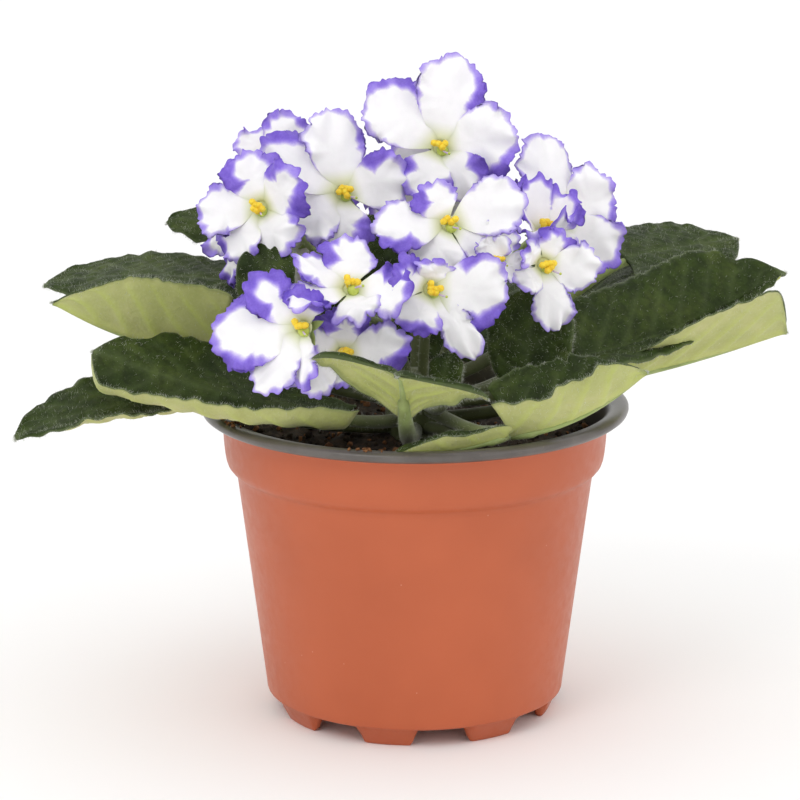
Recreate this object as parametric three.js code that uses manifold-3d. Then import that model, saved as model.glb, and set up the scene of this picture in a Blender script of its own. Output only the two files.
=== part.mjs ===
// A flowering African violet (Saintpaulia) in a round two-layer plastic nursery pot.
// Millimetres, +Z up. The origin is on the pot's axis, level with the soles of its feet,
// and -Y is the front. Every leaf, flower stem and bloom is a thin closed solid of its own.
import * as THREE from "three";
import { mergeVertices } from "three/addons/utils/BufferGeometryUtils.js";
import Module from "manifold-3d";

const wasm = await Module();
wasm.setup();

const rad = THREE.MathUtils.degToRad;
const UP = new THREE.Vector3(0, 0, 1);
const GAP = 0.3; // clearance between neighbouring pieces
const SMALLEST = 0.08; // detail finer than this is left out

// ---------------------------------------------------------------- pot and soil

const POT = {
  rimRadius: 60,
  height: 89,
  wall: 1.1,
  footRadius: 38.6,
  footWidth: 1.8,
  baseRadius: 42.1, // the wall's foot, just above the step
  baseHeight: 5.6,
  floorThickness: 1.2,
  creaseRadius: 50.3, // where the tapered wall meets the collar
  creaseHeight: 69.8,
  collarRadius: 54.0,
  feet: 8,
  notchAngle: 26, // degrees of rim that each gap between two feet takes
  firstNotch: -79, // degrees round from +X
  drainRadius: 3.5,
  drainCircle: 33,
  sides: 40,
};

const SOIL = { level: 79, lump: 0.9, sides: 24 };

const CROWN = { bottom: 70, top: 98, radius: 8.5, sides: 12 };

// ---------------------------------------------------------------- leaves

const LEAF = { thickness: 0.9, petiole: 1.9, scallop: 0.03 };

// name, height of the petiole's root on the crown, blade base, blade tip, bow of the midrib
// off its chord, left half, right half, height of the margin's waves, and the degrees the
// blade twists from base to tip. A half is its width, its slope at the midrib and at the
// margin, the place along the blade where it is widest and how full it is below that. Left
// and right are seen from the base towards the tip.
const LEAVES = [
  ["leaf_left_low", 82, [-56, -20, 93], [-108.2, -38, 88], 3.5,
    [17.5, -25, 42, 0.4, 1], [17.5, 14, 22, 0.4, 1], 0.7],
  ["leaf_left_front", 85, [-20, -32, 92], [-86, -33, 112], -2.5,
    [22, -62, 74, 0.93, 1.7], [23, 10, 26, 0.5, 1.5], 0.4, -38],
  ["leaf_left_pale", 90, [-54, -8, 105.5], [-100, -8, 119], -3.5,
    [22, 60, 76, 0.35, 1.75], [21, 0, 10, 0.3, 1.75], 0.15],
  ["leaf_left_back", 93, [-46, 17, 118], [-106, 27, 116.5], 2.5,
    [17.5, -12, -6, 0.42, 1.2], [18.5, 6, 14, 0.52, 1.2], 0.4],
  ["leaf_front", 82, [-3, -52, 99.5], [-5, -72, 114.3], 2,
    [24, -11, -9, 0.86, 0.3], [23.5, 19, 8, 0.8, 0.5], 0.4],
  ["leaf_front_right", 88, [25, -44, 90], [61.5, -43, 107.5], -3.5,
    [20.5, 52, 40, 0.35, 1.65], [16.5, 38, 62, 0.78, 1.9], 0.6],
  ["leaf_front_small", 82.5, [24.5, -47, 91], [-6, -57, 88.5], -1.5,
    [5.5, 50, 75, 0.45, 1], [5.5, 30, 60, 0.45, 1], 0.4],
  ["leaf_right_large", 90, [44.5, -9, 103.2], [105.6, 24, 120.5], -4.2,
    [20.5, 62, 42, 0.62, 1.3], [11.5, 0, 0, 0.1, 1.6], 0.35],
  ["leaf_right_low", 84, [58, -3, 94], [105.2, 13, 106], -1,
    [15, 0, 10, 0.85, 1.3], [24, 42, 58, 0.88, 0.6], 0.2],
  ["leaf_right_back", 94, [60, 27, 124], [94, 46, 126], 0,
    [19, 22, 8, 0.15, 1.8], [17, -20, -10, 0.35, 1.6], 0.5],
  ["leaf_inner_left", 95, [-54, 30, 130], [-71, 33, 133.5], 2,
    [7, -45, -10, 0.4, 1], [7, 20, 45, 0.4, 1], 0.6],
  ["leaf_inner_right", 90, [31, -16, 99], [33.5, -4, 123], 1,
    [12, 8, 0, 0.45, 1.2], [12, 8, 0, 0.45, 1.2], 0.6],
  ["leaf_inner_front", 91, [8, -39, 101], [10, -36, 111.5], 1,
    [5.5, 10, 10, 0.4, 1], [5.5, 10, 10, 0.4, 1], 0.4],
  ["leaf_inner_upright", 93, [-41, -15, 121], [-39, -10, 137], 1,
    [9, 15, 10, 0.4, 1.2], [9, 15, 10, 0.4, 1.2], 0.5],
  ["leaf_back_left", 86, [-30, 34, 97], [-56, 68, 101], 4,
    [20, 15, 15, 0.4, 1], [20, 15, 15, 0.4, 1], 1.4],
  ["leaf_back", 83, [8, 36, 96], [21, 71.5, 110], 4,
    [20, 18, 18, 0.4, 1.4], [23, 18, 18, 0.4, 1.6], 1.0],
  ["leaf_back_right", 87, [40, 34, 98], [68, 50, 120], 3,
    [20, 10, 10, 0.45, 1.4], [22, 10, 10, 0.3, 1.7], 0.8],
  ["leaf_back_inner", 95, [-12, 27, 104], [-14, 44, 133], 3,
    [19, 15, 15, 0.45, 1.3], [19, 15, 15, 0.45, 1.3], 1.0],
];

// ---------------------------------------------------------------- blooms

const PETAL = {
  thickness: 0.7,
  columns: 4,
  rows: 3,
  twist: 15, // degrees that each petal is turned, to lie over the next one
  ruffle: 1.3,
};
const THROAT = { radius: 2.6, back: 2.6, front: 0.2 };
const ANTHERS = { radius: 1.5, length: 5, standOff: 2.6 };

// name, throat centre, facing direction, then the petals: angle in the bloom's plane
// (0 is right, 90 is up), length, half width, and the lift of the petal towards the front
// at its base and at its edge.
const BLOOMS = [
  ["top", [7, 5, 160], [-0.1, -1, 0.35], [
    [8, 22, 10.5, 12, 0], [81, 26.5, 9.5, 12, 0], [141, 26, 10, 10, 0],
    [245, 16, 8.5, 18, -20], [310, 17.5, 7, 16, -15],
  ]],
  ["upper_left", [-20, 0, 148], [0.2, -1, 0.45], [
    [14, 19.5, 8.5, 15, 0], [95, 24.5, 9, 12, -2], [143, 27, 8.5, 5, -5],
    [215, 17.5, 8, 5, -10], [265, 17, 8.5, 10, -25],
  ]],
  ["left", [-42.5, -8, 145.5], [-0.45, -1, 0.3], [
    [35, 16.5, 8.5, 25, 10], [112, 16.5, 8, 20, 0], [188, 20, 7.5, 10, -5],
    [232, 18, 9, 5, -20], [305, 16, 9, 10, -10],
  ]],
  ["centre", [9, -22, 143.5], [0.05, -1, 0.5], [
    [20, 22.5, 8, 14, 0], [118, 13, 7, 20, 18], [182, 21, 7.8, 12, -5],
    [245, 13.5, 8.5, 0, -25], [334, 18.5, 6.5, -4, -18],
  ]],
  ["middle", [-17.5, -42, 130], [0.12, -0.85, 1], [
    [88, 16, 8, 25, 10], [150, 18, 5.5, 22, 15], [200, 19, 5.5, 18, 10],
    [285, 10, 7, 8, -10], [348, 17.5, 7.5, 15, 25],
  ]],
  ["lower_left", [-30, -49, 121], [-0.35, -1, 0.35], [
    [85, 12, 6, 30, 35], [140, 20, 6.5, 20, 8], [190, 26, 10.5, 10, -5],
    [240, 21, 7, 14, -5], [280, 17, 4.5, 13, 2],
  ]],
  ["low", [-19.5, -42, 112], [0.2, -1, 0.3], [
    [5, 18.5, 7.2, 15, 0], [82, 13, 7, 18, 14], [143, 13, 6.5, 18, 10],
    [208, 16, 7, 10, 0], [293, 9, 6, -10, -40],
  ]],
  ["centre_right", [4, -38, 129], [0.35, -1, 0.25], [
    [352, 22, 10.5, 15, 0], [80, 9, 6, 35, 40], [150, 13, 6.5, 22, 10],
    [238, 13, 7, 5, -15], [302, 23, 4.8, 5, -10],
  ]],
  ["tucked", [22, -22, 134], [0.3, -1, 0.1], [
    [338, 8.5, 4.5, 10, 5], [60, 9, 4.5, 20, 15], [118, 7.5, 4.5, 20, 10],
    [190, 8.5, 4.5, 5, -10], [270, 6, 3.5, 5, -30],
  ]],
  ["right", [35, -20, 132], [0.45, -1, 0.1], [
    [351, 16.5, 7, 17, 8], [60, 11, 6, 17, 14], [140, 8, 4.5, 20, 8],
    [222, 9, 4.5, 10, -10], [282, 19.5, 5.4, 5, 0],
  ]],
  ["upper_right", [41.2, 9, 139.7], [0.35, -1, 0.35], [
    [24, 17.8, 10.3, 10, 0], [105, 24.5, 9, 10, 0], [180, 12, 7, 25, 15],
    [255, 13, 7, 5, -15], [318, 21, 8, 5, 0],
  ]],
  ["ruffled", [36, -6, 138], [0.1, -0.2, 1], [
    [90, 19, 7.5, 60, 80], [157, 18, 6.5, 50, 75], [232, 12, 6.5, 60, 75],
    [305, 12, 6.5, 60, 75], [22, 16, 7, 50, 72],
  ]],
  ["upper_back", [-42, 22, 152], [-0.3, -0.75, 0.6], [
    [60, 17, 8.5, 20, 0], [120, 12.5, 7.5, 20, 0], [200, 12, 7, 20, 0],
    [270, 14, 7, 12, -10], [345, 12, 7, 18, 10],
  ]],
  ["left_back", [-48, 12, 131], [-0.75, -0.65, 0.2], [
    [30, 12, 6, 15, 4], [100, 12, 6.5, 20, 10], [168, 15, 7, 20, 0],
    [240, 13, 6.5, 12, -8], [310, 12, 6, 16, 0],
  ]],
  ["back", [6, 44, 140], [0.1, 1, 0.6], [
    [56, 20, 10, 15, 0], [128, 20, 10, 15, 0], [198, 21, 10.5, 8, -10],
    [270, 22, 11, 5, -20], [344, 21, 10.5, 8, -10],
  ]],
  ["back_left", [-30, 44, 128], [-0.5, 1, 0.4], [
    [56, 18, 9, 15, 0], [128, 18, 9, 15, 0], [198, 19, 9.5, 8, -10],
    [270, 20, 10, 5, -20], [344, 19, 9.5, 8, -10],
  ]],
];

// ---------------------------------------------------------------- flower stems

const STEM = { radius: 1.5, pedicel: 0.95, calyx: 2.4, bract: 2.6, sides: 5 };

// name, start on top of the crown, fork, and the blooms that the stem carries
const STEMS = [
  ["stem_front", [-1, -5], [-8, -22, 116], ["middle", "lower_left", "low"]],
  ["stem_centre", [2, -2], [4, -14, 124], ["centre", "centre_right", "tucked"]],
  ["stem_left", [-5, 0], [-24, 4, 126], ["left", "upper_left", "left_back"]],
  ["stem_top", [0, 3], [2, 14, 136], ["top", "back"]],
  ["stem_right", [5, 1], [22, 4, 124], ["right", "upper_right", "ruffled"]],
  ["stem_back", [-4, 4], [-20, 24, 120], ["upper_back", "back_left"]],
];

// ---------------------------------------------------------------- solids

function solidOf(geometry) {
  const bare = new THREE.BufferGeometry();
  bare.setAttribute("position", geometry.getAttribute("position"));
  bare.setIndex(geometry.index);
  const welded = mergeVertices(bare, 1e-3);
  const solid = new wasm.Manifold(
    new wasm.Mesh({
      numProp: 3,
      vertProperties: new Float32Array(welded.attributes.position.array),
      triVerts: new Uint32Array(welded.index.array),
    }),
  );
  return solid.volume() < 0 ? solidOf(flipped(welded)) : solid;
}

// The same faces, turned to look the other way.
function flipped(geometry) {
  const index = geometry.index.array;
  for (let i = 0; i < index.length; i += 3) {
    [index[i + 1], index[i + 2]] = [index[i + 2], index[i + 1]];
  }
  return geometry;
}

function geometryOf(solid) {
  const mesh = solid.getMesh();
  const geometry = new THREE.BufferGeometry();
  geometry.setAttribute(
    "position",
    new THREE.BufferAttribute(new Float32Array(mesh.vertProperties), 3),
  );
  geometry.setIndex(new THREE.BufferAttribute(new Uint32Array(mesh.triVerts), 1));
  geometry.computeVertexNormals();
  return geometry;
}

// A lathe turned about Z from [radius, height] pairs.
function turned(profile, sides) {
  const points = profile.map(([r, z]) => new THREE.Vector2(r, z));
  const geometry = new THREE.LatheGeometry(points, sides);
  geometry.rotateX(Math.PI / 2);
  return solidOf(geometry);
}

// A thin closed solid round the surface point(u, v), with u from 0 to 1 and v from -1 to 1.
// Both faces are split into triangles along the same diagonals.
function sheet(point, columns, rows, thickness) {
  const positions = [];
  const step = 1e-3;
  for (const side of [1, -1]) {
    for (let i = 0; i <= rows; i++) {
      for (let j = 0; j <= columns; j++) {
        const u = i / rows;
        const v = (2 * j) / columns - 1;
        const along = point(u + step, v).sub(point(u - step, v));
        const across = point(u, v + step).sub(point(u, v - step));
        const normal = along.cross(across).normalize();
        const p = point(u, v).addScaledVector(normal, (side * thickness) / 2);
        positions.push(p.x, p.y, p.z);
      }
    }
  }
  const back = (rows + 1) * (columns + 1);
  const at = (i, j) => i * (columns + 1) + j;
  const index = [];
  for (let i = 0; i < rows; i++) {
    for (let j = 0; j < columns; j++) {
      const [a, b, c, d] = [at(i, j), at(i + 1, j), at(i + 1, j + 1), at(i, j + 1)];
      index.push(a, b, c, a, c, d);
      index.push(back + a, back + c, back + b, back + a, back + d, back + c);
    }
  }
  const border = [];
  for (let i = 0; i < rows; i++) border.push(at(i, 0));
  for (let j = 0; j < columns; j++) border.push(at(rows, j));
  for (let i = rows; i > 0; i--) border.push(at(i, columns));
  for (let j = columns; j > 0; j--) border.push(at(0, j));
  border.forEach((a, k) => {
    const b = border[(k + 1) % border.length];
    index.push(a, back + a, back + b, a, back + b, b);
  });
  const geometry = new THREE.BufferGeometry();
  geometry.setAttribute("position", new THREE.Float32BufferAttribute(positions, 3));
  geometry.setIndex(index);
  return solidOf(geometry);
}

// A closed tube along a curve, whose radius at t from 0 to 1 is radiusAt(t).
function tube(curve, radiusAt, steps, sides) {
  const frames = curve.computeFrenetFrames(steps, false);
  const positions = [];
  for (let i = 0; i <= steps; i++) {
    const centre = curve.getPointAt(i / steps);
    for (let k = 0; k < sides; k++) {
      const angle = (2 * Math.PI * k) / sides;
      const p = centre
        .clone()
        .addScaledVector(frames.normals[i], radiusAt(i / steps) * Math.cos(angle))
        .addScaledVector(frames.binormals[i], radiusAt(i / steps) * Math.sin(angle));
      positions.push(p.x, p.y, p.z);
    }
  }
  const index = [];
  for (let i = 0; i < steps; i++) {
    for (let k = 0; k < sides; k++) {
      const next = (k + 1) % sides;
      const [a, b] = [i * sides + k, i * sides + next];
      index.push(a, b, b + sides, a, b + sides, a + sides);
    }
  }
  for (let k = 1; k < sides - 1; k++) {
    index.push(0, k + 1, k);
    index.push(steps * sides, steps * sides + k, steps * sides + k + 1);
  }
  const geometry = new THREE.BufferGeometry();
  geometry.setAttribute("position", new THREE.Float32BufferAttribute(positions, 3));
  geometry.setIndex(index);
  return solidOf(geometry);
}

function largest(solid) {
  return solid.decompose().reduce((a, b) => (a.volume() > b.volume() ? a : b));
}

// ---------------------------------------------------------------- pot

function wallRadiusAt(z) {
  const share = (z - POT.baseHeight) / (POT.creaseHeight - POT.baseHeight);
  return POT.baseRadius + share * (POT.creaseRadius - POT.baseRadius);
}

function potSolid() {
  const { rimRadius: rim, height: top, wall, baseHeight: base, collarRadius: collar } = POT;
  const floorTop = base + POT.floorThickness;
  const inner = (z) => wallRadiusAt(z) - wall;
  const profile = [
    [0, base - 1],
    [POT.footRadius - POT.footWidth, 0],
    [POT.footRadius, 0],
    [POT.baseRadius - 1.0, base - 0.2],
    [POT.baseRadius, base + 0.4],
    [POT.creaseRadius, POT.creaseHeight],
    [POT.creaseRadius + 2.7, POT.creaseHeight + 3.2],
    [collar - 0.4, POT.creaseHeight + 6.5],
    [collar, top - 4.4],
    [rim - 2.4, top - 3.6],
    [rim, top - 1.4],
    [rim - 0.8, top - 0.3],
    [rim - 2.6, top],
    [collar + 0.8, top - 0.6],
    [collar - wall, top - 3],
    [collar - wall - 0.4, POT.creaseHeight + 6.5],
    [inner(POT.creaseHeight), POT.creaseHeight - 1],
    [inner(floorTop) - 0.8, floorTop],
    [0, floorTop],
  ];
  let solid = turned(profile, POT.sides);
  for (let i = 0; i < POT.feet; i++) {
    const turn = POT.firstNotch + (360 * i) / POT.feet;
    solid = solid.subtract(footNotch().rotate([0, 0, turn]));
    const hole = turned([[0, 0], [POT.drainRadius, 0], [POT.drainRadius, 20], [0, 20]], 6);
    solid = solid.subtract(hole.translate([POT.drainCircle, 0, -5]).rotate([0, 0, turn]));
  }
  return solid;
}

// A wedge with sloping sides that opens a gap between two feet, on +X.
function footNotch() {
  const near = POT.footRadius - 6;
  const far = POT.baseRadius + 4;
  const wide = far * Math.tan(rad(POT.notchAngle / 2));
  const slope = 3.2;
  const outline = new THREE.Shape([
    new THREE.Vector2(-wide, -1),
    new THREE.Vector2(wide, -1),
    new THREE.Vector2(wide - slope, POT.baseHeight - 0.9),
    new THREE.Vector2(slope - wide, POT.baseHeight - 0.9),
  ]);
  const prism = new THREE.ExtrudeGeometry(outline, { depth: far - near, bevelEnabled: false });
  prism.rotateX(Math.PI / 2);
  prism.rotateZ(Math.PI / 2);
  prism.translate(near, 0, 0);
  return solidOf(prism);
}

// ---------------------------------------------------------------- soil and crown

function crownSolid(grow = 0) {
  const { bottom, top, radius, sides } = CROWN;
  return turned(
    [
      [0, bottom - grow],
      [radius * 0.7 + grow, bottom - grow],
      [radius + grow, 80],
      [radius + grow, 90],
      [radius * 0.75 + grow, top - 3],
      [radius * 0.4 + grow, top + grow],
      [0, top + grow],
    ],
    sides,
  );
}

function soilSolid() {
  const floor = POT.baseHeight + POT.floorThickness + GAP;
  const side = (z) => wallRadiusAt(z) - POT.wall - 2 * GAP;
  const edge = POT.collarRadius - POT.wall - 0.9 - GAP;
  const profile = [
    [0, floor],
    [side(floor) - 2.6, floor],
    [side(floor) - 0.4, floor + 2],
    [side(POT.creaseHeight) - 0.3, POT.creaseHeight - 1.5],
    [edge - 0.4, SOIL.level - 2],
    [edge - 3, SOIL.level],
    [edge - 14, SOIL.level + 0.3],
    [edge - 28, SOIL.level + 0.4],
    [0, SOIL.level + 0.4],
  ];
  const points = profile.map(([r, z]) => new THREE.Vector2(r, z));
  const geometry = new THREE.LatheGeometry(points, SOIL.sides);
  geometry.rotateX(Math.PI / 2);
  const place = geometry.getAttribute("position");
  for (let i = 0; i < place.count; i++) {
    const [x, y, z] = [place.getX(i), place.getY(i), place.getZ(i)];
    if (z < SOIL.level - 0.1) continue;
    place.setZ(i, z + SOIL.lump * Math.sin(0.31 * x + 1) * Math.cos(0.27 * y - 0.4 * x));
  }
  return solidOf(geometry).subtract(crownSolid(GAP));
}

// ---------------------------------------------------------------- leaf

// Half width of the blade at u, as a share of the widest: round at the base, and
// drawn to a blunt point at the tip.
function leafOutline(u, widest, fullness) {
  if (u < widest) {
    const x = (widest - u) / (widest + 0.02);
    return Math.max(0.05, (1 - x ** (1 + fullness)) ** (1 - fullness / 2));
  }
  const t = Math.min(1, (u - widest) / (1 - widest));
  return Math.max(0.05, Math.max(0, Math.cos((Math.PI / 2) * t ** 1.35)) ** 0.85);
}

// How far out and how far up a strip reaches at a share of its length, when its slope
// changes evenly from one angle to another.
function bend(length, [from, to], share) {
  const start = rad(from);
  const turn = rad(to - from) * share;
  if (Math.abs(turn) < 1e-4) {
    return [length * share * Math.cos(start), length * share * Math.sin(start)];
  }
  return [
    (length * share * (Math.sin(start + turn) - Math.sin(start))) / turn,
    (length * share * (Math.cos(start) - Math.cos(start + turn))) / turn,
  ];
}

// Midrib and cross direction of a leaf.
function leafFrame([, , base, tip, bow]) {
  const from = new THREE.Vector3(...base);
  const to = new THREE.Vector3(...tip);
  const chord = to.clone().sub(from);
  const side = new THREE.Vector3().crossVectors(UP, chord).normalize();
  const lift = new THREE.Vector3().crossVectors(chord, side).normalize();
  const control = from.clone().lerp(to, 0.5).addScaledVector(lift, 2 * bow);
  return { midrib: new THREE.QuadraticBezierCurve3(from, control, to), side, lift };
}

function leafPoint(leaf, grow) {
  const [, , , , , left, right, wave, twist = 0] = leaf;
  const { midrib, side } = leafFrame(leaf);
  return (u, v) => {
    const t = THREE.MathUtils.clamp(u, 0, 1);
    const tangent = midrib.getTangent(t);
    const across = side.clone().addScaledVector(tangent, -side.dot(tangent)).normalize();
    const lift = new THREE.Vector3().crossVectors(tangent, across);
    const scallop = 1 + LEAF.scallop * Math.cos(8 * Math.PI * t);
    const [halfWidth, inner, outer, widest, fullness] = v > 0 ? left : right;
    const width = (halfWidth + grow) * leafOutline(t, widest, fullness) * scallop;
    const [out, rise] = bend(width, [inner, outer], Math.abs(v));
    const up = rise + wave * v * v * Math.sin(4 * Math.PI * t + (v > 0 ? 0 : 2));
    const turn = rad(twist) * (t - 0.5);
    const sideways = Math.sign(v) * out;
    const lobe = -4 * v * v * Math.max(0, 1 - t / 0.3) ** 2;
    return midrib
      .getPoint(t)
      .addScaledVector(tangent, (u - t) * 10 + grow * (2 * t - 1) + lobe)
      .addScaledVector(across, sideways * Math.cos(turn) - up * Math.sin(turn))
      .addScaledVector(lift, sideways * Math.sin(turn) + up * Math.cos(turn));
  };
}

function leafSolid(leaf, grow) {
  const [, rootHeight, base, , , left, right] = leaf;
  const [columns, rows] = Math.max(left[0], right[0]) > 12 ? [6, 8] : [4, 5];
  const blade = sheet(leafPoint(leaf, grow), columns, rows, LEAF.thickness + 2 * grow);
  const { midrib, lift } = leafFrame(leaf);
  const start = new THREE.Vector3(0, 0, rootHeight);
  const end = midrib.getPoint(0.15).addScaledVector(lift, -0.6);
  const outward = new THREE.Vector3(base[0], base[1], 0).normalize();
  const stalk = start.distanceTo(end);
  const route = new THREE.CubicBezierCurve3(
    start.clone().addScaledVector(outward, 3),
    start.clone().addScaledVector(outward, 0.4 * stalk),
    end.clone().addScaledVector(midrib.getTangent(0), -0.3 * stalk),
    end,
  );
  return blade.add(tube(route, (t) => LEAF.petiole * (1 - 0.5 * t ** 3) + grow, 4, 6));
}

// ---------------------------------------------------------------- bloom

function bloomFrame(bloom) {
  const [, at, facing] = bloom;
  const front = new THREE.Vector3(...facing).normalize();
  const right = new THREE.Vector3().crossVectors(UP, front).normalize();
  const up = new THREE.Vector3().crossVectors(front, right);
  return { centre: new THREE.Vector3(...at), front, right, up };
}

// Half width of a petal at s along it, as a share of the widest.
function petalOutline(s) {
  const swell = 0.2 + 0.8 * Math.sin((Math.PI / 2) * THREE.MathUtils.clamp(s / 0.62, 0, 1) ** 0.8);
  return swell * (1 - 0.35 * THREE.MathUtils.clamp((s - 0.62) / 0.38, 0, 1) ** 2);
}

// A point of a petal: u from 0 at the throat to 1 at the far edge, v from -1 to 1 across.
function petalPoint(bloom, index, u, v, grow) {
  const { centre, front, right, up } = bloomFrame(bloom);
  const [angle, length, halfWidth, base, edge] = bloom[3][index];
  const outward = right
    .clone()
    .multiplyScalar(Math.cos(rad(angle)))
    .addScaledVector(up, Math.sin(rad(angle)));
  const across = new THREE.Vector3().crossVectors(front, outward);
  const corner = 0.3 * (1 - Math.sqrt(Math.max(0, 1 - v * v))) + 0.06 * Math.abs(v) ** 2.4;
  const s = u * (1 - corner);
  const [out, rise] = bend(length + grow - THROAT.radius, [base, edge], s);
  const side = (halfWidth + grow) * petalOutline(s) * v;
  const margin = Math.max(s, Math.abs(v) * Math.min(1, 2 * s));
  const phase = 0.7 * centre.x + 0.3 * centre.z + 2 * index;
  const ruffle = PETAL.ruffle * margin ** 3 * Math.sin(7 * v + 5 * s + phase);
  return centre
    .clone()
    .addScaledVector(outward, THROAT.radius + out)
    .addScaledVector(front, rise + ruffle + side * Math.sin(rad(PETAL.twist)))
    .addScaledVector(across, side);
}

// Five petals that spring side by side from one ring round the throat. The ring's corners
// between two petals belong to both. Behind the throat the corolla narrows to a point.
function bloomSolid(bloom, grow) {
  const { centre, front, right, up } = bloomFrame(bloom);
  const petals = bloom[3];
  const { columns, rows } = PETAL;
  const half = PETAL.thickness / 2 + grow;
  const ring = petals.length * columns;
  const positions = [];
  const index = [];
  const add = (p) => positions.push(p.x, p.y, p.z) / 3 - 1;

  // Faces come in pairs: the front sheet's vertex, then the back sheet's right after it.
  const addPair = (p, normal) => {
    add(p.clone().addScaledVector(normal, half));
    return add(p.clone().addScaledVector(normal, -half)) - 1;
  };
  const quad = (a, b, c, d) => {
    index.push(a, b, c, a, c, d);
    index.push(a + 1, c + 1, b + 1, a + 1, d + 1, c + 1);
  };
  const wall = (a, b) => index.push(a, a + 1, b + 1, a, b + 1, b);

  const ringVertices = [];
  for (let k = 0; k < ring; k++) {
    const petal = Math.floor(k / columns);
    const here = petals[petal][0];
    const before = petals[(petal + petals.length - 1) % petals.length][0];
    const after = petals[(petal + 1) % petals.length][0];
    const from = here - ((here - before + 720) % 360) / 2;
    const to = here + ((after - here + 720) % 360) / 2;
    const angle = rad(from + ((to - from) * (k % columns)) / columns);
    const p = centre
      .clone()
      .addScaledVector(right, THROAT.radius * Math.cos(angle))
      .addScaledVector(up, THROAT.radius * Math.sin(angle));
    ringVertices.push(addPair(p, front));
  }
  petals.forEach((_, n) => {
    let row = [];
    for (let j = 0; j <= columns; j++) row.push(ringVertices[(n * columns + j) % ring]);
    const [first, last] = [[row[0]], [row[columns]]];
    for (let i = 1; i <= rows; i++) {
      const next = [];
      for (let j = 0; j <= columns; j++) {
        const [u, v] = [i / rows, (2 * j) / columns - 1];
        const point = (du, dv) => petalPoint(bloom, n, u + du, v + dv, grow);
        const along = point(0.01, 0).sub(point(-0.01, 0));
        const normal = along.cross(point(0, 0.01).sub(point(0, -0.01))).normalize();
        next.push(addPair(point(0, 0), normal));
      }
      for (let j = 0; j < columns; j++) quad(row[j], next[j], next[j + 1], row[j + 1]);
      row = next;
      first.push(row[0]);
      last.push(row[columns]);
    }
    for (let i = 0; i < rows; i++) {
      wall(first[i], first[i + 1]);
      wall(last[i + 1], last[i]);
    }
    for (let j = 0; j < columns; j++) wall(row[j], row[j + 1]);
  });
  const throat = add(centre.clone().addScaledVector(front, THROAT.front + half));
  const back = add(centre.clone().addScaledVector(front, -THROAT.back - grow));
  ringVertices.forEach((a, k) => {
    const b = ringVertices[(k + 1) % ring];
    index.push(throat, a, b, back, b + 1, a + 1);
  });
  const geometry = new THREE.BufferGeometry();
  geometry.setAttribute("position", new THREE.Float32BufferAttribute(positions, 3));
  geometry.setIndex(index);
  return solidOf(geometry);
}

// The anthers: two fat yellow lobes side by side, just clear of the throat.
function stamensSolid(bloom, grow) {
  const { centre, front, right } = bloomFrame(bloom);
  const middle = centre.clone().addScaledVector(front, ANTHERS.standOff);
  const reach = ANTHERS.length / 2 + grow;
  const line = new THREE.LineCurve3(
    middle.clone().addScaledVector(right, -reach),
    middle.clone().addScaledVector(right, reach),
  );
  const lobes = [0.35, 1, 0.8, 1, 0.35];
  return tube(line, (t) => ANTHERS.radius * lobes[Math.round(4 * t)] + grow, 4, 5);
}

// ---------------------------------------------------------------- stem

function stemSolid(stem, grow = 0) {
  const [, foot, fork, carried] = stem;
  const start = new THREE.Vector3(...foot, CROWN.top - 8);
  const top = new THREE.Vector3(...fork);
  const middle = new THREE.Vector3(
    foot[0] + 0.25 * (top.x - foot[0]),
    foot[1] + 0.25 * (top.y - foot[1]),
    start.z + 0.6 * (top.z - start.z),
  );
  let solid = tube(
    new THREE.QuadraticBezierCurve3(start, middle, top),
    () => STEM.radius + grow,
    3,
    STEM.sides,
  );
  const bracts = new THREE.OctahedronGeometry(STEM.bract + grow, 0);
  solid = solid.add(solidOf(bracts.translate(top.x, top.y, top.z)));
  for (const name of carried) {
    const { centre, front } = bloomFrame(BLOOMS.find((b) => b[0] === name));
    const seat = centre.clone().addScaledVector(front, -THROAT.back - GAP);
    const bend = seat.clone().addScaledVector(front, -0.35 * seat.distanceTo(top));
    const pedicel = new THREE.QuadraticBezierCurve3(top, bend, seat);
    const flare = (t) => (t > 0.9 ? STEM.calyx : STEM.pedicel) + grow;
    solid = solid.add(tube(pedicel, flare, 4, STEM.sides));
  }
  return solid;
}

// ---------------------------------------------------------------- assembly

const COLOURS = {
  pot: [0xc4633f, 0.42],
  soil: [0x2a1c12, 0.95],
  crown: [0x7d8a4a, 0.8],
  leaf: [0x3f5a2a, 0.7],
  stem: [0x7f9a4f, 0.7],
  bloom: [0xd9d0f2, 0.6],
  stamens: [0xf2c21a, 0.6],
};

const plant = new THREE.Group();
const placed = []; // { name, solid, grown }

// Adds a piece, first cut clear of every piece already placed that it would cross.
function place(name, kind, build) {
  let solid = build(0);
  for (const other of placed) {
    if (solid.intersect(other.grown).volume() > 0) solid = solid.subtract(other.grown);
  }
  solid = largest(solid.simplify(SMALLEST));
  placed.push({ name, solid, grown: build(GAP) });
  const [color, roughness] = COLOURS[kind];
  const material = new THREE.MeshStandardMaterial({ color, roughness, metalness: 0 });
  const mesh = new THREE.Mesh(geometryOf(solid), material);
  mesh.name = name;
  plant.add(mesh);
}

place("pot", "pot", () => potSolid());
place("soil", "soil", () => soilSolid());
place("crown", "crown", (grow) => crownSolid(grow));
for (const leaf of LEAVES) place(leaf[0], "leaf", (grow) => leafSolid(leaf, grow));
for (const stem of STEMS) place(stem[0], "stem", (grow) => stemSolid(stem, grow));
for (const bloom of BLOOMS) {
  place("bloom_" + bloom[0], "bloom", (grow) => bloomSolid(bloom, grow));
  place("stamens_" + bloom[0], "stamens", (grow) => stamensSolid(bloom, grow));
}

export default plant;
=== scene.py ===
"""A flowering African violet in its nursery pot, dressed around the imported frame.

Lengths in the tables are millimetres, in the frame's own axes: +Z up, -Y to the front,
the origin on the pot's axis level with the soles of its feet.
"""

import math

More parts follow.
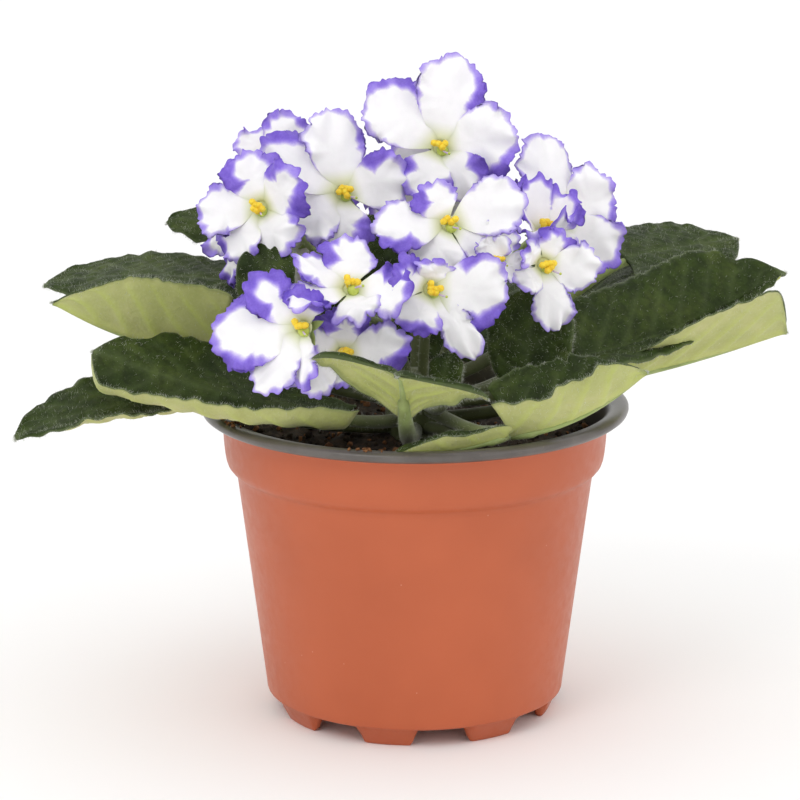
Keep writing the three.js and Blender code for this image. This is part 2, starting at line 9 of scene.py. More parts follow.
import bpy
import numpy as np
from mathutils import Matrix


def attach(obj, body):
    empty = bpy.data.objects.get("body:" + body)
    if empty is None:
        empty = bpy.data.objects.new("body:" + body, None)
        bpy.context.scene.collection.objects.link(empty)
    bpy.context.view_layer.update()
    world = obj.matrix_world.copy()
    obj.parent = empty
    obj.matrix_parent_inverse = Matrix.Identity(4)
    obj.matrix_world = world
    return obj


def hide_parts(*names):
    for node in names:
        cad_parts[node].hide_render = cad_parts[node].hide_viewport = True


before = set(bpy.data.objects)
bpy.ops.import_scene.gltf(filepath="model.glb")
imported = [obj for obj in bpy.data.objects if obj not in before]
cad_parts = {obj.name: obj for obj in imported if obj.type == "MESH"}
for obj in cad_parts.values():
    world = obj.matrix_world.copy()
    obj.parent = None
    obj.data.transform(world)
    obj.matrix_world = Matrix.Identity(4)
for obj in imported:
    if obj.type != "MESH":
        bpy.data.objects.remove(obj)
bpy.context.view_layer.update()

MM = 0.001  # metres in a millimetre
METRE = 1000.0  # millimetres in a metre
UP = np.array([0.0, 0.0, 1.0])
FINE = 1.0

# ---- camera

CAMERA_AT = (-0.00417, -0.9548, 0.3258)
CAMERA_PITCH = 13.93  # degrees below the horizon
CAMERA_LENS = 157.5
CAMERA_SENSOR = 36

camera_data = bpy.data.cameras.new("camera")
camera_data.lens = CAMERA_LENS
camera_data.sensor_width = CAMERA_SENSOR
camera = bpy.data.objects.new("camera", camera_data)
camera.location = CAMERA_AT
camera.rotation_euler = (math.radians(90 - CAMERA_PITCH), 0, 0)
bpy.context.collection.objects.link(camera)
bpy.context.scene.camera = camera

# ---- tables

# name: petiole's height on the crown, blade base, blade tip, bow of the midrib, left half, right
# half, margin wave. A half is its width, its slope at the midrib and at the margin, the place
# along the blade where it is widest and how full it is below that.
LEAVES = {
    "left_low": (82, (-56, -20, 93), (-108.2, -38, 88), 3.5,
        (17.5, -25, 42, 0.4, 1), (17.5, 14, 22, 0.4, 1), 0.7),
    "left_front": (85, (-20, -32, 92), (-87, -33, 110.8), -2.5,
        (21.6, -62, 74, 0.9, 1.7), (23, 10, 26, 0.5, 1.5), 0.4),
    "left_pale": (90, (-54, -8, 105.5), (-100, -8, 119), -3.5,
        (22, 60, 76, 0.35, 1.75), (21, 0, 10, 0.3, 1.75), 0.15),
    "left_back": (93, (-46, 17, 118), (-106, 27, 116.5), 2.5,
        (17.5, -12, -6, 0.42, 1.2), (18.5, 6, 14, 0.52, 1.2), 0.4),
    "front": (82, (-3, -52, 99.5), (-5, -72, 114.3), 2,
        (24, -11, -9, 0.86, 0.3), (23.5, 19, 8, 0.8, 0.5), 0.4),
    "front_right": (88, (25, -44, 90), (61.5, -43, 107.5), -3.5,
        (20.5, 52, 40, 0.35, 1.65), (16.5, 38, 62, 0.78, 1.9), 0.6),
    "front_small": (82.5, (24.5, -47, 91), (-6, -57, 88.5), -1.5,
        (5.5, 50, 75, 0.45, 1), (5.5, 30, 60, 0.45, 1), 0.4),
    "right_large": (90, (44.5, -9, 103.2), (105.6, 24, 120.5), -4.2,
        (20.5, 62, 42, 0.62, 1.55), (12.5, 0, 0, 0.1, 1.6), 0.35),
    "right_low": (84, (54, -4, 96), (105.2, 13, 106), -1,
        (15, 0, 10, 0.85, 1.3), (24, 42, 58, 0.85, 0.7), 0.2),
    "right_back": (94, (60, 27, 124), (94, 46, 126), 0,
        (19, 22, 8, 0.15, 1.8), (17, -20, -10, 0.35, 1.6), 0.5),
    "inner_left": (95, (-54, 30, 130), (-71, 33, 133.5), 2,
        (7, -45, -10, 0.4, 1), (7, 20, 45, 0.4, 1), 0.6),
    "inner_right": (90, (31, -16, 99), (33.5, -4, 123), 1,
        (12, 8, 0, 0.45, 1.2), (12, 8, 0, 0.45, 1.2), 0.6),
    "inner_front": (91, (8, -34, 100), (10, -31, 110.5), 1,
        (5.5, 10, 10, 0.4, 1), (5.5, 10, 10, 0.4, 1), 0.4),
    "inner_upright": (93, (-41, -15, 121), (-39, -10, 137), 1,
        (9, 15, 10, 0.4, 1.2), (9, 15, 10, 0.4, 1.2), 0.5),
    "back_left": (86, (-30, 34, 97), (-56, 68, 101), 4,
        (20, 15, 15, 0.4, 1), (20, 15, 15, 0.4, 1), 1.4),
    "back": (83, (8, 36, 92), (21, 71.5, 110), 4,
        (20, 18, 18, 0.4, 1.4), (23, 18, 18, 0.4, 1.6), 1.0),
    "back_right": (87, (40, 34, 98), (68, 50, 120), 3,
        (20, 10, 10, 0.45, 1.4), (22, 10, 10, 0.3, 1.7), 0.8),
    "back_inner": (95, (-12, 27, 104), (-14, 44, 133), 3,
        (19, 15, 15, 0.45, 1.3), (19, 15, 15, 0.45, 1.3), 1.0),
}

# How far a margin is turned back, a petiole thicker than the rest, the degrees a blade twists
# from base to tip, and notches worn in a margin: place along the blade, side, depth, spread
TURNED_BACK = {"front": 1.3}
PETIOLE = {"front": 2.6}
TWISTED = {"left_front": -38}
NOTCHES = {
    "left_front": ((0.84, -1, 3.5, 0.06),),
    "right_large": ((0.86, 1, 3.0, 0.03), (0.75, -1, 2.8, 0.22)),
    "front_right": ((0.56, 1, 3, 0.04), (0.3, -1, 1.5, 0.08)),
}

# name: throat centre, facing direction, then the petals: angle in the bloom's plane (0 is
# right, 90 is up), length, half width, lift at the base and at the edge, width of the violet
# margin, then where the violet spreads: direction from the petal's tip and extra width
BLOOMS = {
    "top": ((7, 5, 160), (-0.1, -1, 0.35), (
        (8, 22, 10.5, 12, 0, 1.5, (-60, 3)), (81, 26.5, 9.5, 12, 0, 1.4, (-80, 4)),
        (141, 26, 10, 10, 0, 1.5, (-50, 3)), (245, 16, 8.5, 18, -20, 1.5, (-85, 5), (60, 4)),
        (310, 17.5, 7, 16, -15, 1.5, (65, 5)),
    )),
    "upper_left": ((-20, 0, 148), (0.2, -1, 0.45), (
        (14, 19.5, 8.5, 15, 0, 1.5, (80, 5)), (95, 24.5, 9, 12, -2, 1.2, (-60, 2)),
        (143, 27, 8.5, 5, -5, 1.5, (-30, 4)), (215, 17.5, 8, 5, -10, 1.5),
        (265, 17, 8.5, 10, -25, 2, (70, 5)),
    )),
    "left": ((-42.5, -8, 145.5), (-0.45, -1, 0.3), (
        (35, 16.5, 8.5, 25, 10, 2, (80, 4), (-60, 5)), (112, 16.5, 8, 20, 0, 2.5, (100, 5.5)),
        (188, 20, 7.5, 10, -5, 2), (232, 18, 9, 5, -20, 2, (-60, 4)), (305, 16, 9, 10, -10, 2.2),
    )),
    "centre": ((9, -22, 143.5), (0.05, -1, 0.5), (
        (20, 22.5, 8, 14, 0, 1.4), (118, 13, 7, 20, 18, 2, (70, 5)),
        (182, 21, 7.8, 12, -5, 1.5, (75, 5)), (245, 13.5, 8.5, 0, -25, 1.2),
        (334, 18.5, 6.5, -4, -18, 1.2),
    )),
    "middle": ((-17.5, -42, 130), (0.12, -0.85, 1), (
        (88, 16, 8, 25, 10, 2, (85, 5)), (150, 18, 5.5, 22, 15, 2.5),
        (200, 19, 5.5, 18, 10, 1.5, (80, 3)), (285, 10, 7, 8, -10, 1.5),
        (348, 17.5, 7.5, 15, 25, 2, (60, 6)),
    )),
    "lower_left": ((-30, -49, 121), (-0.35, -1, 0.35), (
        (85, 12, 6, 30, 35, 6), (140, 20, 6.5, 20, 8, 3.5, (-80, 4), (70, 3)),
        (190, 26, 10.5, 10, -5, 2, (60, 3), (-85, 4)), (240, 21, 7, 14, -5, 1.5),
        (280, 17, 4.5, 13, 2, 2.5),
    )),
    "low": ((-19.5, -42, 112), (0.2, -1, 0.3), (
        (5, 18.5, 7.2, 15, 0, 2, (-50, 4.5)), (82, 13, 7, 18, 14, 5), (143, 13, 6.5, 18, 10, 4),
        (208, 16, 7, 10, 0, 1.5), (293, 9, 6, -10, -40, 2),
    )),
    "centre_right": ((4, -38, 129), (0.35, -1, 0.25), (
        (352, 22, 10.5, 15, 0, 1.3, (115, 4.5), (-60, 5)), (80, 9, 6, 35, 40, 2),
        (150, 13, 6.5, 22, 10, 4.5), (238, 13, 7, 5, -15, 2, (20, 3)), (302, 23, 4.8, 5, -10, 1.3),
    )),
    "tucked": ((22, -22, 134), (0.3, -1, 0.1), (
        (338, 8.5, 4.5, 10, 5, 0.3), (60, 9, 4.5, 20, 15, 1.5), (118, 7.5, 4.5, 20, 10, 1),
        (190, 8.5, 4.5, 5, -10, 2.5), (270, 6, 3.5, 5, -30, 1),
    )),
    "right": ((35, -20, 132), (0.45, -1, 0.1), (
        (351, 16.5, 7, 17, 8, 1.2), (60, 11, 6, 17, 14, 3), (140, 8, 4.5, 20, 8, 2),
        (222, 9, 4.5, 10, -10, 1.2), (282, 19.5, 5.4, 5, 0, 1.0),
    )),
    "upper_right": ((41.2, 9, 139.7), (0.35, -1, 0.35), (
        (24, 17.8, 10.3, 10, 0, 1.5, (-50, 2)), (105, 24.5, 9, 10, 0, 1.6), (180, 12, 7, 25, 15, 4),
        (255, 13, 7, 5, -15, 2.6), (318, 21, 8, 5, 0, 1.3, (0, 2)),
    )),
    "ruffled": ((36, -6, 138), (0.1, -0.2, 1), (
        (90, 19, 7.5, 60, 80, 3.4), (155, 18, 6.5, 50, 75, 3.4), (207, 13, 7, 22, 32, 2.6),
        (290, 12, 6.5, 60, 75, 3), (22, 16, 7, 50, 72, 3.4),
    )),
    "upper_back": ((-42, 22, 152), (-0.3, -0.75, 0.6), (
        (60, 17, 8.5, 20, 0, 2.5), (120, 12.5, 7.5, 20, 0, 2), (200, 12, 7, 20, 0, 3),
        (270, 14, 7, 12, -10, 3), (345, 12, 7, 18, 10, 3),
    )),
    "left_back": ((-48, 12, 131), (-0.75, -0.65, 0.2), (
        (30, 12, 6, 15, 4, 3), (100, 12, 6.5, 20, 10, 3), (168, 15, 7, 20, 0, 2.5),
        (240, 13, 6.5, 12, -8, 3.5), (310, 12, 6, 16, 0, 3),
    )),
    "back": ((6, 44, 140), (0.1, 1, 0.6), (
        (56, 20, 10, 15, 0, 1.8), (128, 20, 10, 15, 0, 1.8), (198, 21, 10.5, 8, -10, 2),
        (270, 22, 11, 5, -20, 2), (344, 21, 10.5, 8, -10, 2),
    )),
    "back_left": ((-30, 44, 128), (-0.5, 1, 0.4), (
        (56, 18, 9, 15, 0, 2), (128, 18, 9, 15, 0, 2), (198, 19, 9.5, 8, -10, 2.4),
        (270, 20, 10, 5, -20, 2.4), (344, 19, 9.5, 8, -10, 2),
    )),
}

# name: start on top of the crown, fork, blooms carried
STEMS = {
    "front": ((-1, -5), (-8, -22, 116), ("middle", "lower_left", "low")),
    "centre": ((2, -2), (4, -14, 124), ("centre", "centre_right", "tucked")),
    "left": ((-5, 0), (-24, 4, 126), ("left", "upper_left", "left_back")),
    "top": ((0, 3), (2, 14, 136), ("top", "back")),
    "right": ((5, 1), (22, 4, 124), ("right", "upper_right", "ruffled")),
    "back": ((-4, 4), (-20, 24, 120), ("upper_back", "back_left")),
}

# ---- small helpers

LEAST_TURN = 1e-4  # radians; a strip that turns less counts as straight
ASKEW = (0.31, 0.17, 0.93)  # a direction that no tube runs along


def unit(a):
    return a / np.maximum(np.linalg.norm(a, axis=-1, keepdims=True), 1e-12)


def smooth(low, high, x):
    t = np.clip((x - low) / (high - low), 0, 1)
    return t * t * (3 - 2 * t)


def rng_for(name):
    """Random draws that belong to a name, the same at every run."""
    return np.random.default_rng(sum(ord(c) * (i + 7) for i, c in enumerate(name)))


def waves(rng, wavelengths, scale=1.0):
    """A smooth random line in one variable, from a few sines of the given wavelengths."""
    phases = rng.uniform(0, 2 * np.pi, len(wavelengths))
    bends = rng.uniform(0.9, 1.1, len(wavelengths))

    def line(x):
        total = sum(
            np.sin(2 * np.pi * x / (w * b) + p) for w, b, p in zip(wavelengths, bends, phases)
        )
        return scale * total / math.sqrt(len(wavelengths))

    return line


def bend(length, slopes, share):
    """How far out and up a strip reaches when its slope changes evenly along it."""
    start = math.radians(slopes[0])
    turn = math.radians(slopes[1] - slopes[0]) * share
    turn = np.where(np.abs(turn) < LEAST_TURN, LEAST_TURN, turn)
    out = length * share * (np.sin(start + turn) - np.sin(start)) / turn
    up = length * share * (np.cos(start) - np.cos(start + turn)) / turn
    return out, up


def add_piece(name, points, faces, materials, which, attributes=None):
    """A mesh object riding on the part, from points in millimetres."""
    mesh = bpy.data.meshes.new(name)
    mesh.from_pydata((np.asarray(points) * MM).tolist(), [], faces)
    for m in materials:
        mesh.materials.append(m)
    mesh.polygons.foreach_set("material_index", np.asarray(which, dtype=np.int32))
    mesh.polygons.foreach_set("use_smooth", np.ones(len(mesh.polygons), dtype=bool))
    for key, values in (attributes or {}).items():
        layer = mesh.attributes.new(key, "FLOAT", "POINT")
        layer.data.foreach_set("value", np.asarray(values, dtype=np.float32))
    mesh.update()
    obj = bpy.data.objects.new(name, mesh)
    bpy.context.collection.objects.link(obj)
    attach(obj, "root")
    return obj


class Build:
    """Collects points, faces, face materials and point attributes of one piece."""

    def __init__(self, *attributes):
        self.points, self.faces, self.which = [], [], []
        self.values = {a: [] for a in attributes}

    def add(self, points, faces, which=0, **values):
        start = sum(map(len, self.points))
        points = np.asarray(points, dtype=float).reshape(-1, 3)
        self.points.append(points)
        self.faces.extend([tuple(start + i for i in f) for f in faces])
        if np.isscalar(which):
            which = [which] * len(faces)
        self.which.extend(which)
        for key, store in self.values.items():
            value = np.asarray(values.get(key, 0.0), dtype=float).reshape(-1)
            store.append(value if len(value) > 1 else np.full(len(points), value[0]))

    def piece(self, name, materials):
        attributes = {k: np.concatenate(v) for k, v in self.values.items()}
        return add_piece(
            name, np.concatenate(self.points), self.faces, materials, self.which, attributes
        )


def crowded(columns, share):
    """Places from -1 to 1 that crowd towards both ends."""
    even = np.linspace(-1, 1, columns + 1)
    return (1 - share) * even + share * np.sin(np.pi / 2 * even)


def sheet(grid, thickness):
    """A thin closed sheet round a grid of points: material 1 behind, 0 in front and round it."""
    rows, columns = grid.shape[:2]
    normals = unit(np.cross(np.gradient(grid, axis=0), np.gradient(grid, axis=1)))
    half = np.broadcast_to(np.asarray(thickness, dtype=float) / 2, (rows, columns))[..., None]
    points = np.concatenate(
        [(grid + normals * half).reshape(-1, 3), (grid - normals * half).reshape(-1, 3)]
    )
    n = rows * columns
    index = np.arange(n).reshape(rows, columns)
    a, b, c, d = index[:-1, :-1], index[1:, :-1], index[1:, 1:], index[:-1, 1:]
    top = np.stack([a, b, c, d], -1).reshape(-1, 4)
    low = np.stack([a, d, c, b], -1).reshape(-1, 4) + n
    border = np.concatenate([index[:-1, 0], index[-1, :-1], index[:0:-1, -1], index[0, :0:-1]])
    after = np.roll(border, -1)
    rim = np.stack([border, border + n, after + n, after], -1)
    faces = np.concatenate([top, low, rim]).tolist()
    which = [0] * len(top) + [1] * len(low) + [0] * len(rim)
    return points, faces, which, normals


def twice(values):
    """A grid's values for the points on both faces of its sheet."""
    return np.tile(values.reshape(-1), 2)


def ring_faces(rings, sides):
    """Faces of the surface through rings of points that follow one another."""
    faces = []
    for a in range(0, (rings - 1) * sides, sides):
        for k in range(sides):
            n = (k + 1) % sides
            faces.append((a + k, a + n, a + sides + n, a + sides + k))
    return faces


def end_faces(rings, sides):
    last = (rings - 1) * sides
    return [tuple(range(sides))[::-1], tuple(range(last, last + sides))]


def bezier(points, t):
    """Points on a Bezier curve of any degree at the values t."""
    points = [np.asarray(p, dtype=float) for p in points]
    n = len(points) - 1
    t = np.asarray(t, dtype=float)[:, None]
    return sum(
        math.comb(n, i) * (1 - t) ** (n - i) * t**i * p for i, p in enumerate(points)
    )


def tube(line, radii, sides):
    """A closed tube along a line of points."""
    tangents = unit(np.gradient(line, axis=0))
    normal = unit(np.cross(tangents[0], ASKEW))
    rings = []
    for p, t, r in zip(line, tangents, radii):
        normal = unit(normal - t * np.dot(normal, t))
        other = np.cross(t, normal)
        angle = np.linspace(0, 2 * np.pi, sides, endpoint=False)[:, None]
        rings.append(p + r * (np.cos(angle) * normal + np.sin(angle) * other))
    count = len(rings)
    return np.concatenate(rings), ring_faces(count, sides) + end_faces(count, sides)


def ball(centre, axes, rows, columns, lumps=None):
    """A closed ellipsoid; axes are its three half-axes as vectors."""
    points = [np.asarray(centre) - axes[2]]
    for i in range(1, rows):
        lat = np.pi * i / rows - np.pi / 2
        for k in range(columns):
            lon = 2 * np.pi * k / columns
            d = (math.cos(lat) * math.cos(lon), math.cos(lat) * math.sin(lon), math.sin(lat))
            swell = 1 + (lumps(d) if lumps else 0)
            points.append(centre + swell * (d[0] * axes[0] + d[1] * axes[1] + d[2] * axes[2]))
    points.append(np.asarray(centre) + axes[2])
    faces = [(0, 1 + (k + 1) % columns, 1 + k) for k in range(columns)]
    faces += [tuple(1 + i for i in face) for face in ring_faces(rows - 1, columns)]
    last = len(points) - 1
    ring = 1 + (rows - 2) * columns
    faces += [(ring + k, ring + (k + 1) % columns, last) for k in range(columns)]
    return np.array(points), faces


def spikes(roots, directions, lengths, width):
    """Hairs: a slim closed three-sided spike on each root."""
    side = unit(np.cross(directions, unit(directions[:, [1, 2, 0]] + 0.3)))
    other = np.cross(directions, side)
    tip = roots + directions * lengths[:, None]
    thirds = [2 * math.pi * k / 3 for k in range(3)]
    corners = [roots + width * (math.cos(a) * side + math.sin(a) * other) for a in thirds]
    points = np.stack([*corners, tip], 1).reshape(-1, 3)
    base = 4 * np.arange(len(roots))[:, None, None]
    faces = np.array([[0, 1, 3], [1, 2, 3], [2, 0, 3], [0, 2, 1]])[None] + base
    return points, faces.reshape(-1, 3).tolist()


# ---- materials

BLACK = (0, 0, 0)
WHITE = (1, 1, 1)
GREEN_TISSUE = {  # how light spreads in it; the radius is metres
    "Subsurface_Weight": 0.1, "Subsurface_Radius": (0.004, 0.004, 0.002), "Subsurface_Scale": 0.3,
}


class Nodes:
    """A material with a Principled shader and a few shorthand ways to feed it."""

    def __init__(self, name, roughness, **sockets):
        self.material = bpy.data.materials.new(name)
        self.material.use_nodes = True
        self.tree = self.material.node_tree
        self.shader = self.tree.nodes["Principled BSDF"]
        self.shader.inputs["Roughness"].default_value = roughness
        for key, value in sockets.items():
            self.shader.inputs[key.replace("_", " ")].default_value = value
        self.place = self.tree.nodes.new("ShaderNodeTexCoord").outputs["Object"]

    def node(self, kind, inputs, output, **settings):
        """A node with values or links on its inputs; gives back one of its outputs."""
        node = self.tree.nodes.new(kind)
        for key, value in settings.items():
            setattr(node, key, value)
        for key, value in inputs.items():
            self.feed(node.inputs[key], value)
        return node.outputs[output]

    def feed(self, socket, value):
        if isinstance(value, bpy.types.NodeSocket):
            self.tree.links.new(value, socket)
        elif socket.type == "RGBA":
            socket.default_value = (*value, 1)
        else:
            socket.default_value = value

    def attribute(self, name):
        return self.node("ShaderNodeAttribute", {}, "Fac", attribute_name=name)

    def noise(self, size_mm, detail=3.0, rough=0.55):
        inputs = {"Scale": METRE / size_mm, "Detail": detail, "Roughness": rough}
        return self.node("ShaderNodeTexNoise", {"Vector": self.place, **inputs}, "Fac")

    def cells(self, size_mm):
        inputs = {"Vector": self.place, "Scale": METRE / size_mm}
        return self.node("ShaderNodeTexVoronoi", inputs, "Distance")

    def reach(self, centre, size_mm):
        """How far a point is from the centre, as a share of size_mm."""
        inputs = {0: self.place, 1: centre}
        far = self.node("ShaderNodeVectorMath", inputs, "Value", operation="DISTANCE")
        return self.share(far, METRE / size_mm)

    def ramp(self, factor, *stops):
        """A colour ramp; each stop is (position, colour)."""
        node = self.tree.nodes.new("ShaderNodeValToRGB")
        elements = node.color_ramp.elements
        while len(elements) < len(stops):
            elements.new(0.5)
        for e, (position, colour) in zip(elements, stops):
            e.position = position
            e.color = (*colour, 1)
        self.feed(node.inputs["Fac"], factor)
        return node.outputs["Color"]

    def mix(self, factor, a, b, kind="MIX"):
        inputs = {0: factor, 6: a, 7: b}
        return self.node("ShaderNodeMix", inputs, 2, data_type="RGBA", blend_type=kind)

    def math(self, kind, a, b, c=0.0, clamp=False):
        inputs = {0: a, 1: b, 2: c}
        return self.node("ShaderNodeMath", inputs, 0, operation=kind, use_clamp=clamp)

    def share(self, factor, part):
        return self.math("MULTIPLY", factor, part)

    def colour(self, output):
        self.feed(self.shader.inputs["Base Color"], output)

    def roughness(self, output):
        self.feed(self.shader.inputs["Roughness"], output)

    def bump(self, height, distance_mm, strength):
        inputs = {"Strength": strength, "Distance": distance_mm * MM, "Height": height}
        normal = self.node("ShaderNodeBump", inputs, "Normal")
        self.feed(self.shader.inputs["Normal"], normal)


def petal_material():
    m = Nodes("petal", roughness=0.55, Specular_IOR_Level=0.3, Sheen_Weight=0.08,
              Sheen_Roughness=0.4, Subsurface_Weight=0.15,
              Subsurface_Radius=(0.004, 0.003, 0.004), Subsurface_Scale=0.3)
    blotch = m.math("MULTIPLY_ADD", m.noise(2.6, 2), 0.22, -0.11)
    fleck = m.math("MULTIPLY_ADD", m.noise(0.6, 1), 0.16, -0.08)
    blue = m.math("ADD", m.attribute("blue"), m.math("ADD", blotch, fleck), clamp=True)
    tint = m.ramp(
        blue,
        (0.12, (0.93, 0.91, 0.925)),
        (0.34, (0.64, 0.57, 0.86)),
        (0.58, (0.4, 0.31, 0.8)),
        (0.82, (0.26, 0.17, 0.7)),
        (1.0, (0.16, 0.09, 0.54)),
    )
    tint = m.mix(m.attribute("throat"), tint, (0.56, 0.62, 0.22))
    shade = m.ramp(m.noise(4.5, 3), (0.3, (0.94,) * 3), (0.7, WHITE))
    m.colour(m.mix(1.0, tint, shade, "MULTIPLY"))
    m.bump(m.noise(0.45, 3, 0.7), 0.1, 0.45)
    return m.material


def leaf_top_material():
    m = Nodes("leaf_upper_side", roughness=0.5, Specular_IOR_Level=0.16, Sheen_Weight=0.03,
              Sheen_Roughness=0.35)
    green = m.ramp(
        m.noise(9, 4), (0.3, (0.015, 0.028, 0.003)), (0.5, (0.026, 0.044, 0.005)),
        (0.72, (0.051, 0.073, 0.012)),
    )
    mottle = m.ramp(m.noise(2.4, 3), (0.35, (0.72,) * 3), (0.65, (1.25,) * 3))
    green = m.mix(1.0, green, mottle, "MULTIPLY")
    green = m.mix(m.share(m.attribute("vein"), 0.25), green, (0.12, 0.16, 0.06))
    green = m.mix(m.share(m.attribute("edge"), 0.5), green, (0.16, 0.2, 0.09))
    dust = m.ramp(m.noise(0.55, 2, 0.7), (0.6, BLACK), (0.72, WHITE))
    m.colour(m.mix(m.share(dust, 0.14), green, (0.3, 0.33, 0.2)))
    m.bump(m.math("ADD", m.cells(1.3), m.noise(0.5, 3, 0.7)), 0.3, 0.6)
    return m.material


def leaf_under_material():
    m = Nodes("leaf_under_side", roughness=0.62, Specular_IOR_Level=0.35, Sheen_Weight=0.12,
              Sheen_Roughness=0.4, **GREEN_TISSUE)
    pale = m.ramp(
        m.noise(14, 4), (0.3, (0.375, 0.4, 0.13)), (0.52, (0.44, 0.46, 0.17)),
        (0.75, (0.52, 0.515, 0.23)),
    )
    pale = m.mix(m.share(m.attribute("vein"), 0.55), pale, (0.5, 0.58, 0.11))
    pale = m.mix(m.share(m.attribute("edge"), 0.6), pale, (0.12, 0.16, 0.06))
    dust = m.ramp(m.noise(0.7, 2), (0.5, BLACK), (0.85, (0.3,) * 3))
    m.colour(m.mix(dust, pale, (0.55, 0.57, 0.36)))
    m.bump(m.math("ADD", m.cells(1.1), m.noise(0.45, 3, 0.7)), 0.2, 0.45)
    return m.material


def stem_material():
    m = Nodes("stem", roughness=0.55, Sheen_Weight=0.3, Sheen_Roughness=0.4, **GREEN_TISSUE)
    green = m.ramp(m.noise(7, 4), (0.3, (0.2, 0.24, 0.07)), (0.55, (0.3, 0.38, 0.12)),
                   (0.8, (0.4, 0.44, 0.2)))
    # Darker near the crown, where little light reaches
    deep = m.ramp(m.reach((0, 0, 0.085), 100), (0.25, (0.8,) * 3), (0.58, BLACK))
    m.colour(m.mix(deep, green, (0.05, 0.055, 0.018)))
    m.bump(m.noise(0.6, 3, 0.7), 0.2, 0.6)
    return m.material


def plain_material(name, stops, size_mm, roughness, bump_mm, bump_size, **sockets):
    """One mottled colour over a fine bump."""
    m = Nodes(name, roughness=roughness, **sockets)
    m.colour(m.ramp(m.noise(size_mm, 4), *stops))
    m.bump(m.noise(bump_size, 3, 0.65), bump_mm, 0.6)
    return m.material


def pot_material():
    m = Nodes("pot_terracotta_plastic", roughness=0.4, Specular_IOR_Level=0.45)
    clay = m.ramp(m.noise(40, 3), (0.3, (0.442, 0.094, 0.031)), (0.7, (0.5, 0.11, 0.038)))
    dust = m.ramp(m.cells(7.5), (0.0, WHITE), (0.035, BLACK))
    clay = m.mix(m.share(dust, 0.5), clay, (0.75, 0.5, 0.38))
    dirt = m.ramp(m.noise(0.9, 4, 0.8), (0.7, BLACK), (0.8, WHITE))
    m.colour(m.mix(m.share(dirt, 0.35), clay, (0.24, 0.08, 0.045)))
    m.roughness(m.ramp(m.noise(3, 3), (0.3, (0.34,) * 3), (0.7, (0.47,) * 3)))
    m.bump(m.noise(0.8, 3), 0.03, 0.5)
    return m.material


def pot_lip_material():
    m = Nodes("pot_grey_inner_layer", roughness=0.3, Specular_IOR_Level=0.55)
    grey = m.ramp(m.noise(12, 4), (0.3, (0.07, 0.06, 0.053)), (0.7, (0.13, 0.115, 0.105)))
    dust = m.ramp(m.noise(0.8, 3, 0.75), (0.6, BLACK), (0.78, WHITE))
    m.colour(m.mix(m.share(dust, 0.35), grey, (0.3, 0.2, 0.13)))
    m.bump(m.noise(0.9, 3), 0.04, 0.5)
    return m.material


PETAL = petal_material()
LEAF_TOP = leaf_top_material()
LEAF_UNDER = leaf_under_material()
STEM = stem_material()
POT = pot_material()
LIP = pot_lip_material()
HAIR = plain_material(
    "hair", ((0.3, (0.55, 0.58, 0.46)), (0.7, (0.72, 0.74, 0.64))), 5, 0.5, 0.02, 0.5)
ANTHER = plain_material(
    "anther", ((0.25, (0.82, 0.47, 0.01)), (0.6, (0.95, 0.69, 0.03)), (0.85, (0.97, 0.8, 0.1))),
    1.2, 0.6, 0.15, 0.35, Subsurface_Weight=0.1, Subsurface_Scale=0.2)
OVARY = plain_material(
    "ovary", ((0.3, (0.38, 0.47, 0.05)), (0.7, (0.58, 0.66, 0.12))), 1.5, 0.5, 0.1, 0.4)
STYLE = plain_material(
    "style", ((0.3, (0.5, 0.36, 0.62)), (0.7, (0.7, 0.6, 0.75))), 2, 0.5, 0.05, 0.4)
PEAT = plain_material(
    "peat",
    ((0.3, (0.012, 0.008, 0.005)), (0.5, (0.035, 0.022, 0.012)), (0.75, (0.085, 0.05, 0.026))),
    2.5, 0.95, 0.8, 0.9)
CRUMB = plain_material(
    "peat_crumb", ((0.3, (0.09, 0.035, 0.012)), (0.7, (0.3, 0.13, 0.045))), 1.5, 0.9, 0.3, 0.6)

# ---- pot

POT_SIDES = 320
LIP_TOP = 89
FEET = 8
FIRST_NOTCH = -79  # degrees
NOTCH_TOP = 4.7
NOTCH_HALF = (9.2, 13.2)  # half a notch in degrees, at its top and at the sole
POT_WOBBLE = (50, 0.12)  # rings wider than this are out of round by so much

# Radius and height of the pot's rings: under its floor, round the sole that the notches lift,
# up the wall, and down the grey liner from the lip to the floor inside
UNDERSIDE = ((0.01, 4.6), (30, 4.6), (36.3, 4.6))
SOLE = ((36.8, 0.3), (37.1, 0.0), (38.3, 0.0), (38.7, 0.4))
WALL = (
    (41.0, 5.3), (41.5, 5.55), (41.95, 5.8), (42.12, 6.3), (42.3, 8), (44.1, 22), (46.4, 40),
    (48.6, 57), (50.05, 68), (50.3, 69.4), (50.75, 70.2), (51.9, 70.9), (52.7, 71.9),
    (53.15, 73.2), (53.45, 75), (53.75, 78), (54.0, 82), (54.15, 84.2), (54.6, 85.1),
    (55.6, 85.5), (56.9, 85.6),
)
LINER = (
    (57.5, 85.7), (58.8, 86.1), (59.7, 86.8), (60.0, 87.6), (59.8, 88.3), (59.1, 88.8),
    (58, 89.0), (56.6, 88.95), (55.2, 88.5), (54.1, 87.4), (53.3, 85.6), (52.9, 83), (52.5, 77),
    (51.9, 73), (50.2, 71), (49.3, 69.5), (45.4, 40), (41.3, 8), (40, 6.9), (30, 6.8),
    (0.01, 6.8),
)


def foot_height(angle):
    """Height of the sole round the pot: 0 on a foot, raised in the notches."""
    pitch = 360 / FEET
    from_notch = (np.degrees(angle) - FIRST_NOTCH + pitch / 2) % pitch - pitch / 2
    return NOTCH_TOP * (1 - smooth(*NOTCH_HALF, np.abs(from_notch)))


